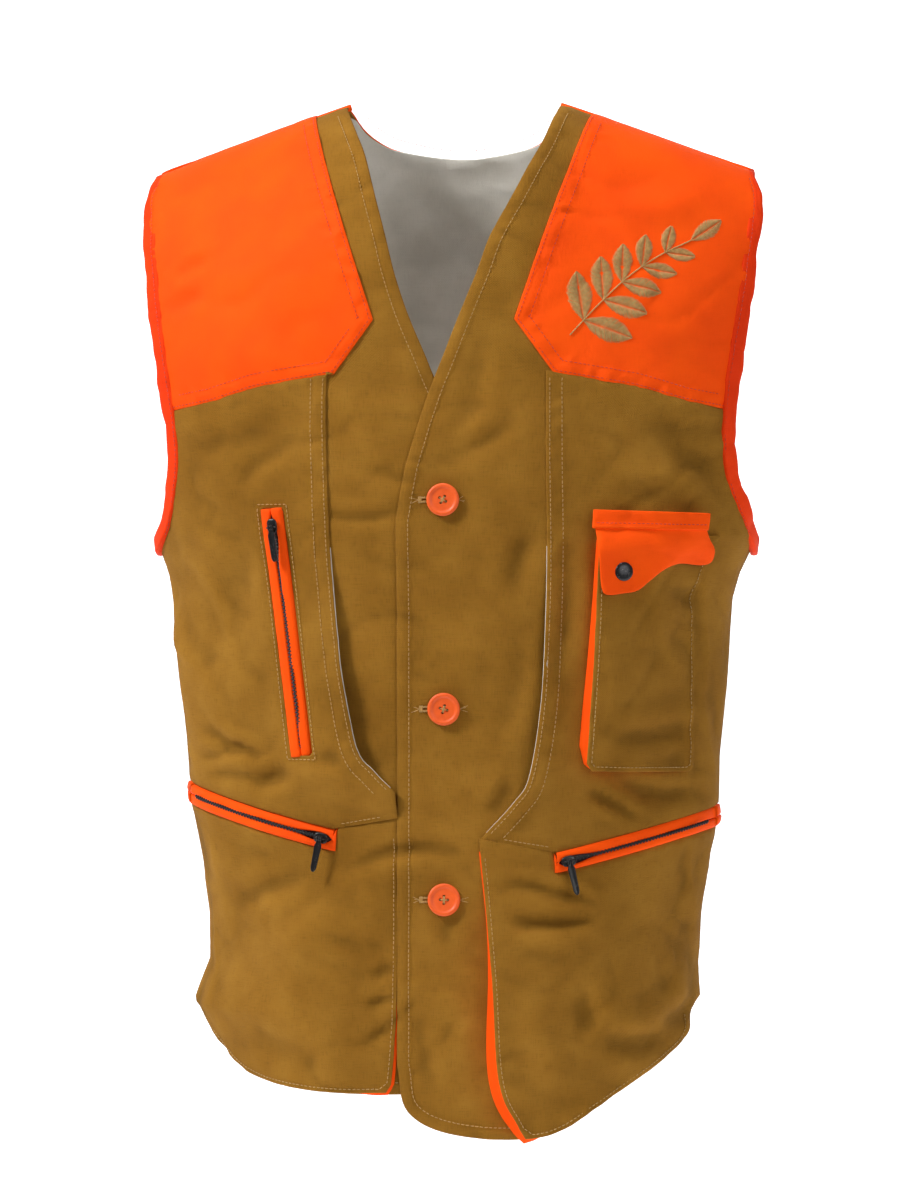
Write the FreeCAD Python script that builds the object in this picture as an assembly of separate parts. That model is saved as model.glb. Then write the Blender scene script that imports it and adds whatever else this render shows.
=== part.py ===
"""Sleeveless canvas hunting vest with orange trim, as separate cloth pieces and fittings.

Millimetres. +Z is up, -Y is the wearer's front, +X is the wearer's left. The origin lies midway
between the two neck points, on the shoulder line. Every cloth piece is a thin solid between two
offsets of one torso surface, cut to its outline by a prism that runs along Y.
"""
import FreeCAD
import Part
import math
import os

os.makedirs("parts", exist_ok=True)
V = FreeCAD.Vector

# ---------------------------------------------------------------- torso form
ARMPIT_Z = -300.0            # height of the armhole bottoms
ARMPIT_HALF_WIDTH = 206.0    # half width there
SIDE_TAPER = 0.118           # half width lost per unit of height below the armhole
CHEST_DEPTH = 118.0          # front surface in front of the side seams, at the chest
BELLY_DEPTH = 108.0          # the same below the waist
BACK_DEPTH = 116.0           # back surface behind the side seams
SECTION_POWER = 2.25         # superellipse power of the horizontal sections
SHOULDER_RISE = 31.0         # height of the shoulder line at the neck
SHOULDER_SLOPE = 0.38        # fall of the shoulder line per unit of width
SHOULDER_ROUND = 40.0        # rounding of the shoulder line at the middle
SHOULDER_FALL = 200.0        # height over which the surface curves back to the shoulder line
FALL_POWER = 2.2
FORM_BOTTOM = -720.0         # the form ends just under the hem

# ---------------------------------------------------------------- cloth layers, as offsets
CLOTH = 1.2                  # thickness of a canvas layer
GAP = 0.3                    # air between two layers
LINING_IN, LINING_OUT = -1.2, -GAP
BASE_IN, BASE_OUT = 0.0, CLOTH
OVER_IN, OVER_OUT = BASE_OUT + GAP, BASE_OUT + GAP + CLOTH
BINDING_IN, BINDING_OUT = -1.8, 3.4
WELT_OUT = 5.0               # folded welts beside the zip teeth
EDGING_WIDTH = 2.2           # white edging inside the pocket mouths
GUSSET_WALL = 1.6            # thickness of the folded pocket gussets
PLACKET_LIFT = 2.7           # the left front lies this far over the right front at the middle
LIFT_FROM, LIFT_TO = 45.0, 105.0
BINDING_WIDTH = 10.0
BINDING_INSET = BINDING_WIDTH + GAP

# ---------------------------------------------------------------- pocket bulges
LOWER_BULGE = 13.0
LOWER_BULGE_TOP, LOWER_BULGE_FULL = -520.0, -590.0
CHEST_BULGE = 13.0
CHEST_BULGE_TOP, CHEST_BULGE_FULL = -286.0, -312.0
MOUTH_BULGE = 10.0           # gape of the slanted pocket mouths

# ---------------------------------------------------------------- fittings
BUTTON_RADIUS = 11.0
BUTTON_THICK = 3.0
BUTTON_Z = (-276.0, -416.0, -544.0)
BUTTONHOLE_LENGTH, BUTTONHOLE_HEIGHT = 27.0, 4.0
BUTTONHOLE_X = -6.0          # the slit runs from just beyond the shank towards the wearer's right
BUTTONHOLE_RIM = 1.6         # width of the stitched rim round a slit
SHANK_RADIUS = 1.5
SNAP_X, SNAP_Z = 119.0, -324.0
SNAP_RADIUS = 6.25
SNAP_CLEAR = 0.45            # air between each snap part and the curved cloth under it
FLAP_LIFT = 4.4              # flap above the cloth that the pocket is sewn to, with the snap closed
COIL_WIDTH, COIL_THICK = 2.4, 1.6
ZIP_SLOT = 3.4               # gap between the two welts
ZIP_BAND = 14.0              # height of the orange zip band
ZIP_LIFT = 4.0               # offset of the teeth from the torso surface
SLIDER_LENGTH, SLIDER_WIDTH = 10.0, 7.0
SLIDER_CLEAR, SLIDER_PLATE = 3.3, 1.3   # slider plate above the middle of the teeth
EYE_LIFT = 2.0               # pull tab's eye above the slider plate
KEEL_HALF = 1.0              # half width of the slider's keel
SLIDER_START = 2.0           # slider's end from the end of the chest zip's teeth
PULL_LENGTH, PULL_WIDTH, PULL_THICK = 22.0, 5.0, 1.2
BAIL_RADIUS, EYE_RADIUS = 0.6, 0.9
FRONT_SIDE_GAP = 0.3         # fronts stop this far before the side seam plane

# ---------------------------------------------------------------- outlines, (x, z), wearer's left
NECK_EDGE = [(75, 0), (62, -40), (41, -95), (28, -125), (17, -155), (-8, -203), (-25, -257), (-31, -290)]
NECK_CUT = (17, -155)        # where the neckline meets the moving front
PATCH_TOP_X = 109.0          # inner edge of the shoulder patch, above the shoulder line
PATCH_CORNER, PATCH_LOW, CUT_FOOT = (48, -155), (74, -191), (183.7, -213)
FRONT_CUT = [NECK_CUT, PATCH_CORNER, PATCH_LOW, (127, -200), (158, -209), CUT_FOOT]
CUT_GAP = 0.5                # drop of the moving front below the shoulder's lower edge
ARMHOLE_HIGH = [(207, 40), (212, -75), (206, -130), (195, -200), (194, -213)]
ARMHOLE_LOW = [(194, -214), (192, -250), (200, -285), (212, -300)]
BACK_ARMHOLE = [(207, 40), (210, -75), (203, -130), (197, -190), (197, -240), (203, -280), (212, -300)]
BACK_NECK = [(75, 6), (45, -14), (0, -22), (-45, -14), (-75, 6)]
YOKE_EDGE = [(-240, -135.6), (0, -158), (240, -135.6)]
LEFT_HEM = [(-31, -655), (-24, -686), (8, -701), (66, -703), (102, -684), (130, -665), (158, -646), (180, -618)]
RIGHT_HEM = [(31, -672), (-49, -675), (-97, -673), (-135, -665), (-156, -648), (-180, -618)]
HEM_TURN = 11.5              # height of the hem facings
BACK_HEM = [(-180, -618), (-110, -652), (0, -668), (110, -652), (180, -618)]
LEFT_MOUTH = [(69, -330), (66, -406), (58, -460), (47, -479), (26, -502)]
RIGHT_MOUTH = [(-75, -330), (-69, -393), (-59, -442), (-47, -458), (-33, -472)]
LEFT_OVER_EDGE, RIGHT_OVER_EDGE = 69.0, -79.0
LEFT_POCKET_EDGE = [(24, -504), (33, -592), (38, -665), (52, -697)]
RIGHT_POCKET_EDGE = [(-33, -490), (-37, -590), (-38, -640), (-40, -668)]
CHEST_POCKET = [(99, -300), (94, -456), (172, -458), (182, -300)]
FLAP_EDGE = [(176, -296), (180, -318), (172, -324), (152, -327), (139, -340), (122, -345), (106, -340), (103, -320),
             (98, -296)]
CHEST_ZIP_TOP, CHEST_ZIP_LOW = (-116, -286), (-97, -444)
LEFT_ZIP = [(78, -519), (127, -507), (176, -494)]
RIGHT_ZIP = [(-78, -504), (-127, -492), (-176, -478)]
SIDE_X = 240.0               # beyond the widest part of the vest

def smooth(value):
    """Smooth step from 0 to 1."""
    value = min(1.0, max(0.0, value))
    return value * value * (3 - 2 * value)


# ---------------------------------------------------------------- the torso surface
def half_width(z):
    """Half width of the torso at height z; above the armholes the surface runs on, wider."""
    above = max(0.0, z - ARMPIT_Z)
    return ARMPIT_HALF_WIDTH + SIDE_TAPER * (z - ARMPIT_Z) + 0.0003 * above ** 2


def shoulder_line(x):
    return SHOULDER_RISE - SHOULDER_SLOPE * math.hypot(x, SHOULDER_ROUND)


def section_depth(z, back):
    if back:
        return BACK_DEPTH - 14 * smooth((-330 - z) / 150) + 8 * smooth((-520 - z) / 150)
    return CHEST_DEPTH - (CHEST_DEPTH - BELLY_DEPTH) * smooth((-230 - z) / 250)


def no_bulge(x, z):
    return 0.0


def placket_lift(x, z):
    """The left front lies over the right front at the middle and settles onto the form beside it."""
    return PLACKET_LIFT * (1 - smooth((x - LIFT_FROM) / (LIFT_TO - LIFT_FROM)))


def lower_bulge(x, z):
    """Fullness of the lower pockets, most near the front edge, none at the side seam."""
    down = smooth((LOWER_BULGE_TOP - z) / (LOWER_BULGE_TOP - LOWER_BULGE_FULL))
    return LOWER_BULGE * down * (1 - smooth((abs(x) - 95) / 70))


def left_lower(x, z):
    return placket_lift(x, z) + lower_bulge(x, z)


def mouth_bulge(x, z):
    """Gape of the slanted pocket mouth."""
    tall = smooth((-300 - z) / 90) * smooth((z + 506) / 50)
    return MOUTH_BULGE * tall * (1 - smooth((abs(x) - 62) / 60))


def left_mouth(x, z):
    return placket_lift(x, z) + mouth_bulge(x, z)


def chest_bulge(x, z):
    """Fullness of the chest pocket, most at its gusset."""
    down = smooth((CHEST_BULGE_TOP - z) / (CHEST_BULGE_TOP - CHEST_BULGE_FULL))
    return placket_lift(x, z) + CHEST_BULGE * down * (1 - 0.8 * smooth((x - 112) / 66))


def depth(x, z, offset, bulge, back):
    """Distance of the surface from the side seam plane."""
    share = min(1.0, abs(x) / (half_width(z) + offset))
    around = max(0.0, 1 - share ** SECTION_POWER) ** (1 / SECTION_POWER)
    top = shoulder_line(x) + offset
    rise = min(1.0, max(0.0, (z - top + SHOULDER_FALL) / SHOULDER_FALL))
    fall = max(0.0, 1 - rise ** FALL_POWER) ** (1 / FALL_POWER)
    return (section_depth(z, back) + offset) * around * fall + bulge(x, z) * around


def surface_point(x, z, offset=0.0, bulge=no_bulge, back=False):
    y = depth(x, z, offset, bulge, back)
    return V(x, y if back else -y, z)


def surface_normal(x, z, bulge=no_bulge):
    step = 2.0
    across = surface_point(x + step, z, 0, bulge) - surface_point(x - step, z, 0, bulge)
    up = surface_point(x, z + step, 0, bulge) - surface_point(x, z - step, 0, bulge)
    normal = across.cross(up)
    return normal.normalize()


FORMS = {}


def form(offset, bulge=no_bulge, back=False):
    """Solid between the side seam plane and the torso surface at one offset."""
    key = (offset, bulge.__name__, back)
    if key in FORMS:
        return FORMS[key]
    columns, rows_low, rows_high = 34, 26, 12
    grid = []
    for i in range(columns + 1):
        angle = math.pi * (1 - i / columns)
        share = math.copysign(abs(math.cos(angle)) ** (2 / SECTION_POWER), math.cos(angle))
        line = []
        for j in range(rows_low + rows_high + 1):
            x = share * ARMPIT_HALF_WIDTH
            for _ in range(12):
                top = shoulder_line(x) + offset
                if j <= rows_low:
                    z = FORM_BOTTOM + (top - SHOULDER_FALL - FORM_BOTTOM) * j / rows_low
                else:
                    turn = 0.5 * math.pi * (j - rows_low) / rows_high
                    z = top - SHOULDER_FALL * (1 - math.sin(turn) ** (2 / FALL_POWER))
                x = share * (half_width(z) + offset)
            point = surface_point(x, z, offset, bulge, back)
            if i in (0, columns) or j == rows_low + rows_high:
                point.y = 0.0
            line.append(point)
        grid.append(line)
    surface = Part.BSplineSurface()
    surface.interpolate(grid)
    skin = surface.toShape()
    sides = [surface.uIso(surface.bounds()[0]), surface.uIso(surface.bounds()[1])]
    bottom = surface.vIso(surface.bounds()[2])
    top = surface.vIso(surface.bounds()[3])
    floor_line = Part.makeLine(grid[0][0], grid[-1][0])
    seam_plane = Part.Face(Part.Wire(Part.__sortEdges__(
        [sides[0].toShape(), top.toShape(), sides[1].toShape(), floor_line])))
    floor = Part.Face(Part.Wire(Part.__sortEdges__([bottom.toShape(), floor_line])))
    shell = Part.makeShell([skin, seam_plane, floor])
    shell.sewShape()
    solid = Part.Solid(shell)
    if solid.Volume < 0:
        solid.reverse()
    FORMS[key] = solid
    return solid


def hit(x, z, offset, bulge):
    """Front point of the finished form at x and z."""
    line = Part.makeLine(V(x, -300, z), V(x, -1, z)).common(form(offset, bulge))
    return V(x, min(vertex.Y for vertex in line.Vertexes), z)


def hit_normal(x, z, offset, bulge, step=4.0):
    """Outward normal of the finished form about a point."""
    across = hit(x + step, z, offset, bulge) - hit(x - step, z, offset, bulge)
    upward = hit(x, z + step, offset, bulge) - hit(x, z - step, offset, bulge)
    return across.cross(upward).normalize()


# ---------------------------------------------------------------- prisms
def edge_run(points):
    """A straight edge for two points, a smooth curve through more."""
    places = [V(x, 0, z) for x, z in points]
    if len(places) == 2:
        return Part.makeLine(*places)
    curve = Part.BSplineCurve()
    curve.interpolate(places)
    return curve.toShape()


def prism(runs, back=False):
    """Prism along Y of the outline that the runs make, joined by straight edges."""
    edges = []
    for index, run in enumerate(runs):
        edges.append(edge_run(run))
        last, first = run[-1], runs[(index + 1) % len(runs)][0]
        if math.dist(last, first) > 1e-6:
            edges.append(edge_run([last, first]))
    face = Part.Face(Part.Wire(Part.__sortEdges__(edges)))
    if back:
        return face.extrude(V(0, 400, 0))
    face.translate(V(0, -FRONT_SIDE_GAP, 0))
    return face.extrude(V(0, -400, 0))


def layer(outline, inner, outer, bulge=no_bulge, back=False, inner_bulge=None):
    """Thin cloth solid between two offsets, inside an outline."""
    piece = outline.common(form(outer, bulge, back))
    return piece.cut(form(inner, inner_bulge or bulge, back))


def polygon(points):
    """Outline of straight runs only."""
    return [[points[i], points[(i + 1) % len(points)]] for i in range(len(points))]


def mirrored(points):
    return [(-x, z) for x, z in points]


def shifted(points, dx, dz=0.0):
    return [(x + dx, z + dz) for x, z in points]


def biggest(shape):
    """The largest solid of a shape."""
    return max(shape.Solids, key=lambda solid: solid.Volume)


def save(name, shape):
    solids = [solid for solid in shape.Solids if solid.Volume > 0.5]
    body = solids[0] if len(solids) == 1 else Part.makeCompound(solids)
    if not body.isValid():
        body.fix(0.01, 0.01, 0.01)
    body.exportStep("parts/" + name + ".step")
    box = body.BoundBox
    print("%-24s solids %d valid %s volume %.0f  x %.0f %.0f  y %.0f %.0f  z %.0f %.0f" % (
        name, len(solids), body.isValid(), body.Volume,
        box.XMin, box.XMax, box.YMin, box.YMax, box.ZMin, box.ZMax))


# ---------------------------------------------------------------- back
def build_back():
    """Back panel, its orange yoke and its lining; they carry the shoulders."""
    arm = shifted(BACK_ARMHOLE, -BINDING_INSET)
    neck_end = BACK_NECK[0][0]

    def outline(hem):
        side_foot = hem[0][1]
        return prism([BACK_NECK, [(-neck_end, arm[0][1]), mirrored(arm)[0]], mirrored(arm),
                      [(-SIDE_X, ARMPIT_Z), (-SIDE_X, side_foot)], hem, [(SIDE_X, side_foot), (SIDE_X, ARMPIT_Z)],
                      arm[::-1], [arm[0], (neck_end, arm[0][1])]], back=True)

    save("back_panel", layer(outline(BACK_HEM), BASE_IN, BASE_OUT, back=True))
    lining = outline(shifted(BACK_HEM, 0, HEM_TURN + 0.5))
    save("back_lining", layer(lining, LINING_IN, LINING_OUT, back=True))
    above = prism(polygon([(-SIDE_X, 60), *YOKE_EDGE, (SIDE_X, 60)]), back=True)
    save("back_yoke", layer(outline(BACK_HEM).common(above), OVER_IN, OVER_OUT, back=True))
    facing = prism([BACK_HEM, shifted(BACK_HEM, 0, HEM_TURN)[::-1]], back=True)
    save("back_hem_facing", layer(facing, LINING_IN, LINING_OUT, back=True))


# ---------------------------------------------------------------- shoulders, part of the root body
def side_points(points, side):
    return points if side > 0 else mirrored(points)


def build_shoulder(side, tag):
    """Front of one shoulder above the moving front: canvas, orange patch and lining."""
    bulge = placket_lift if side > 0 else no_bulge
    arm = shifted(ARMHOLE_HIGH, -BINDING_INSET)[::-1]
    neck = [(x, z) for x, z in NECK_EDGE if z >= NECK_CUT[1]]
    top_z = arm[-1][1]

    def outline_from(inner_run, cut):
        runs = [inner_run] + [[cut[i], cut[i + 1]] for i in range(len(cut) - 1)]
        runs += [arm, [arm[-1], (inner_run[0][0], top_z)]]
        return prism([side_points(run, side) for run in runs])

    outline = outline_from(neck, FRONT_CUT)
    save("shoulder_front_" + tag, layer(outline, BASE_IN, BASE_OUT, bulge))
    save("shoulder_lining_" + tag, layer(outline, LINING_IN, LINING_OUT, bulge))
    patch = outline_from([(PATCH_TOP_X, top_z), PATCH_CORNER], FRONT_CUT[1:])
    save("shoulder_patch_" + tag, layer(patch, OVER_IN, OVER_OUT, bulge))


def binding_band(points, side, back):
    """Strip of the binding's width along an armhole edge."""
    inner = shifted(points, -BINDING_WIDTH)
    return prism([side_points(points, side), side_points(inner[::-1], side)], back=back)


def build_bindings(side, tag):
    """Armhole binding: back and shoulder on the root, the rest on the moving front."""
    bulge = placket_lift if side > 0 else no_bulge
    back = layer(binding_band(BACK_ARMHOLE, side, True), BINDING_IN, BINDING_OUT, back=True)
    front = layer(binding_band(ARMHOLE_HIGH, side, False), BINDING_IN, BINDING_OUT, bulge)
    save("arm_binding_" + tag, Part.makeCompound([biggest(back), biggest(front)]))
    moving = layer(binding_band(ARMHOLE_LOW, side, False), BINDING_IN, BINDING_OUT, bulge)
    save("arm_binding_front_" + tag, biggest(moving))


# ---------------------------------------------------------------- moving fronts
def front_outline(side, hem):
    """Outline of one moving front from the shoulder cut to the hem."""
    cut = shifted(FRONT_CUT, -GAP, -CUT_GAP)
    neck = [cut[0]] + [(x, z) for x, z in NECK_EDGE if z < NECK_CUT[1]]
    runs = [[cut[i], cut[i + 1]] for i in range(len(cut) - 1)]
    runs += [shifted(ARMHOLE_LOW, -BINDING_INSET), [(SIDE_X, ARMPIT_Z), (SIDE_X, hem[-1][1])]]
    runs += [side_points(hem[::-1], side), [(neck[-1][0], hem[0][1]), neck[-1]], neck[::-1]]
    return [side_points(run, side) for run in runs]


def buttonhole(x, z, grow=0.0):
    """Prism of a rounded buttonhole slit."""
    half = BUTTONHOLE_LENGTH / 2 + grow
    high = BUTTONHOLE_HEIGHT / 2 + grow
    block = Part.makeBox(2 * (half - high), 400, 2 * high, V(x - half + high, -400, z - high))
    ends = [Part.makeCylinder(high, 400, V(x + s * (half - high), -400, z), V(0, 1, 0)) for s in (-1, 1)]
    return block.fuse(ends)


def build_left_base():
    """Left front canvas with its three buttonholes, facing and lining."""
    panel = layer(prism(front_outline(1, LEFT_HEM)), BASE_IN, BASE_OUT, placket_lift)
    facing_runs = [[(17, -156), (-8, -203), (-25, -257), (-31, -290)], [(-31, -290), (-31, -655)],
                   [(-31, -655), (-24, -686), (8, -701), (32, -704)], [(32, -704), (32, -290)],
                   [(32, -290), (52, -230), (60, -180)], [(60, -180), (48, -156)], [(48, -156), (17, -156)]]
    facing = layer(prism(facing_runs), LINING_IN, LINING_OUT, placket_lift)
    for number, z in enumerate(BUTTON_Z, 1):
        slit = buttonhole(BUTTONHOLE_X, z)
        panel = panel.cut(slit)
        facing = facing.cut(slit)
        ring = buttonhole(BUTTONHOLE_X, z, BUTTONHOLE_RIM).cut(slit)
        ring = layer(ring, BASE_OUT + 0.05, BASE_OUT + 0.7, placket_lift)
        save("buttonhole_%d" % number, ring)
    save("front_panel_l", panel)
    save("placket_facing_l", facing)
    lining = layer(prism(lining_outline(1, LEFT_HEM)), LINING_IN, LINING_OUT, placket_lift)
    save("front_lining_l", lining)


def lining_outline(side, hem):
    """Lining beside the facing, a little above the hem."""
    top = [(60.6, -181.1)] + shifted(FRONT_CUT[2:], 0, -CUT_GAP - 0.1)
    inner = [(32.5, -290), (52.5, -230), top[0]]
    low = side_points([(x, z) for x, z in shifted(hem, 0, HEM_TURN + 2.5) if abs(x) > 60], side)
    runs = [[top[i], top[i + 1]] for i in range(len(top) - 1)]
    runs += [shifted(ARMHOLE_LOW, -BINDING_INSET), [(SIDE_X, ARMPIT_Z), (SIDE_X, low[-1][1])], low[::-1]]
    runs += [[(inner[0][0], low[0][1]), inner[0]], inner]
    return [side_points(run, side) for run in runs]


def build_right_base():
    """Right front canvas, which lies under the left one, with facing and lining."""
    save("front_panel_r", layer(prism(front_outline(-1, RIGHT_HEM)), BASE_IN, BASE_OUT))
    facing_runs = [[(-17, -156), (8, -203), (25, -257), (31, -290)], [(31, -290), (31, -672)],
                   [(31, -672), (-32, -674)], [(-32, -674), (-32, -290)],
                   [(-32, -290), (-52, -230), (-60, -180)], [(-60, -180), (-48, -156)], [(-48, -156), (-17, -156)]]
    save("placket_facing_r", layer(prism(facing_runs), LINING_IN, LINING_OUT))
    save("front_lining_r", layer(prism(lining_outline(-1, RIGHT_HEM)), LINING_IN, LINING_OUT))


def zip_slot(line, half):
    """Prism of a straight or curved slot of the given half height about a zip line."""
    return prism([shifted(line, 0, half), shifted(line, 0, -half)[::-1]])


def build_overlay(side, tag, mouth, edge_x, pocket_edge, zip_line, hem):
    """Chest overlay with its slanted pocket mouth, mouth edging, zip welts, lower pocket and gusset."""
    mouth_form = left_mouth if side > 0 else mouth_bulge
    low_form = left_lower if side > 0 else lower_bulge
    lift = placket_lift if side > 0 else no_bulge
    arm = shifted(ARMHOLE_LOW, -BINDING_INSET)
    top = [(edge_x * side, PATCH_LOW[1] - 1), *shifted(FRONT_CUT[3:5], 0, -1), arm[0]]
    band = ZIP_BAND / 2 + GAP
    start = (zip_line[0][0] - 6 * side, zip_line[0][1] - 1.5)
    finish = (zip_line[-1][0] + 18 * side, zip_line[-1][1] + 6)
    line = [start, *zip_line, finish]
    above, below = shifted(line, 0, band), shifted(line, 0, -band)
    corner_x = start[0] - 2 * side
    runs = [side_points([top[i], top[i + 1]], side) for i in range(len(top) - 1)]
    runs += [side_points(arm, side), side_points([(SIDE_X, ARMPIT_Z), (SIDE_X, above[-1][1])], side)]
    runs += [above[::-1], [(corner_x, above[0][1]), mouth[-1]], mouth[::-1],
             [(edge_x, mouth[0][1]), (edge_x, top[0][1])]]
    overlay = layer(prism(runs), OVER_IN, OVER_OUT, mouth_form)
    if side < 0:
        overlay = overlay.cut(chest_slot(ZIP_BAND / 2 + GAP))
    save("overlay_" + tag, overlay)
    (x0, z0), (x1, z1) = mouth[-2:]
    edge = mouth[1:-1] + [((x0 + x1) / 2, (z0 + z1) / 2)]
    edging = prism([edge, shifted(edge, EDGING_WIDTH * side)[::-1]])
    save("mouth_edging_" + tag, layer(edging, OVER_IN - 0.8, OVER_IN - 0.2, mouth_form))

    low_hem = [(x, z + 1.5) for x, z in hem if x * side > abs(pocket_edge[-1][0]) + 4]
    runs = [[pocket_edge[0], (corner_x, below[0][1])], below,
            side_points([(SIDE_X, below[-1][1]), (SIDE_X, low_hem[-1][1])], side), low_hem[::-1], pocket_edge[::-1]]
    save("lower_pocket_" + tag, biggest(layer(prism(runs), OVER_IN, OVER_OUT, low_form)))
    gusset_line = shifted(pocket_edge[1:], 1.0 * side)
    wall = prism([gusset_line, shifted(gusset_line, GUSSET_WALL * side)[::-1]])
    front_wall = layer(wall, OVER_IN, OVER_IN - GAP, low_form, inner_bulge=lift)
    hem_line = [(x, z + 3) for x, z in low_hem]
    hem_wall = layer(prism([hem_line, shifted(hem_line, 0, GUSSET_WALL)[::-1]]), OVER_IN, OVER_IN - GAP, low_form,
                     inner_bulge=lift)
    save("pocket_gusset_" + tag, Part.makeCompound([biggest(front_wall), biggest(hem_wall)]))

    slot_end = (zip_line[-1][0] + 10 * side, zip_line[-1][1] + 3)
    welts = zip_slot(line, ZIP_BAND / 2).cut(zip_slot([*zip_line, slot_end], ZIP_SLOT / 2))
    save("lower_zip_welts_" + tag, layer(welts, OVER_IN, WELT_OUT, lift))


# ---------------------------------------------------------------- zips
def zip_arc(line, side):
    """Circle that the curved zip's teeth follow: start point, centre, axis, radius and angle."""
    lift = placket_lift if side > 0 else no_bulge
    places = [surface_point(x, z, ZIP_LIFT, lift) for x, z in line]
    arc = Part.Arc(*places).toShape().Curve
    axis = arc.Axis
    if axis.z < 0:
        axis = axis.negative()
    first, last = places[0] - arc.Center, places[2] - arc.Center
    return places[0], arc.Center, axis, arc.Radius, math.degrees(first.getAngle(last))


def ring_piece(start, centre, axis, inner, outer, half_height, from_deg, sweep_deg):
    """Sector of a flat ring; inner and outer are measured from the teeth line outwards."""
    outward = (start - centre).normalize()
    corners = [start + outward * inner - axis * half_height, start + outward * outer - axis * half_height,
               start + outward * outer + axis * half_height, start + outward * inner + axis * half_height]
    face = Part.Face(Part.makePolygon(corners + [corners[0]]))
    face.rotate(centre, axis, from_deg)
    return face.revolve(centre, axis, sweep_deg)


def pull_tab(eye, drop, outward):
    """Pull tab that hangs from its eye; drop points along the tab, outward away from the cloth."""
    across = drop.cross(outward).normalize()
    thick = outward * PULL_THICK
    low = eye - outward * (PULL_THICK / 2)
    half = across * (PULL_WIDTH / 2)
    neck = across * (PULL_WIDTH / 2 - 1)
    begin, wide, end = drop * -1.8, drop * 5.0, drop * PULL_LENGTH
    corners = [low + begin - neck, low + begin + neck, low + wide + half, low + end + half * 0.75,
               low + end + drop * 1.4, low + end - half * 0.75, low + wide - half]
    tab = Part.Face(Part.makePolygon(corners + [corners[0]])).extrude(thick)
    hole = Part.makeCylinder(EYE_RADIUS, PULL_WIDTH + 4, eye - across * (PULL_WIDTH / 2 + 2), across)
    boss = Part.makeCylinder(1.7, PULL_WIDTH - 2, eye - across * (PULL_WIDTH / 2 - 1), across)
    return tab.fuse(boss).cut(hole)


def bail(eye, drop, outward, base):
    """Bar through the tab's eye with a post at each end down to the slider plate."""
    across = drop.cross(outward).normalize()
    reach = PULL_WIDTH / 2 + 0.9
    bar = Part.makeCylinder(BAIL_RADIUS, 2 * reach, eye - across * reach, across)
    posts = []
    for end in (-1, 1):
        foot = eye + across * (end * (reach - BAIL_RADIUS))
        posts.append(Part.makeCylinder(BAIL_RADIUS + 0.15, base, foot - outward * base, outward))
    return bar.fuse(posts)


def build_curved_zip(side, tag, line):
    """Teeth, slider and pull of a lower pocket zip."""
    start, centre, axis, radius, sweep = zip_arc(line, side)
    turn = sweep if side > 0 else -sweep
    save("lower_zip_teeth_" + tag, ring_piece(start, centre, axis, -COIL_THICK / 2, COIL_THICK / 2,
                                              COIL_WIDTH / 2, 0, turn))
    length = math.degrees(SLIDER_LENGTH / radius) * (1 if side > 0 else -1)
    high = SLIDER_CLEAR + SLIDER_PLATE
    plate = ring_piece(start, centre, axis, SLIDER_CLEAR, high, SLIDER_WIDTH / 2, 0, length)
    keel = ring_piece(start, centre, axis, COIL_THICK / 2 + GAP, SLIDER_CLEAR, KEEL_HALF, 0, length)
    middle = (start - centre).normalize()
    middle = FreeCAD.Rotation(axis, length / 2).multVec(middle)
    eye = centre + middle * (radius + high + EYE_LIFT)
    slider = plate.fuse(keel).fuse(bail(eye, axis.negative(), middle, EYE_LIFT + 0.2))
    save("lower_slider_" + tag, slider)
    save("lower_pull_" + tag, pull_tab(eye, axis.negative(), middle))
    along = axis.cross(middle).normalize()
    print("JOINT lower_slider_" + tag, "centre", tuple(centre), "axis", tuple(axis), "sweep", turn, "step", length)
    print("JOINT lower_pull_" + tag, "eye", tuple(eye), "axis", tuple(along))


def chest_line():
    """Ends of the chest zip's teeth, its direction and its outward normal."""
    top = surface_point(*CHEST_ZIP_TOP, ZIP_LIFT)
    low = surface_point(*CHEST_ZIP_LOW, ZIP_LIFT)
    along = (low - top).normalize()
    normal = surface_normal(-107, -365)
    across = along.cross(normal).normalize()
    return top, low, along, across, across.cross(along).normalize()


def chest_slot(half):
    """Prism about the chest zip with the given half width."""
    (x0, z0), (x1, z1) = CHEST_ZIP_TOP, CHEST_ZIP_LOW
    end = 5.0 if half > ZIP_SLOT else 0.0
    return prism(polygon([(x0 - half, z0 + end), (x0 + half, z0 + end), (x1 + half, z1 - end), (x1 - half, z1 - end)]))


def straight_block(origin, along, across, outward, lengths, widths, heights):
    """Block in the zip's own directions, each pair of numbers a low and a high limit."""
    corners = []
    for a, b in ((0, 0), (1, 0), (1, 1), (0, 1)):
        corners.append(origin + along * lengths[a] + across * widths[b] + outward * heights[0])
    face = Part.Face(Part.makePolygon(corners + [corners[0]]))
    return face.extrude(outward * (heights[1] - heights[0]))


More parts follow.
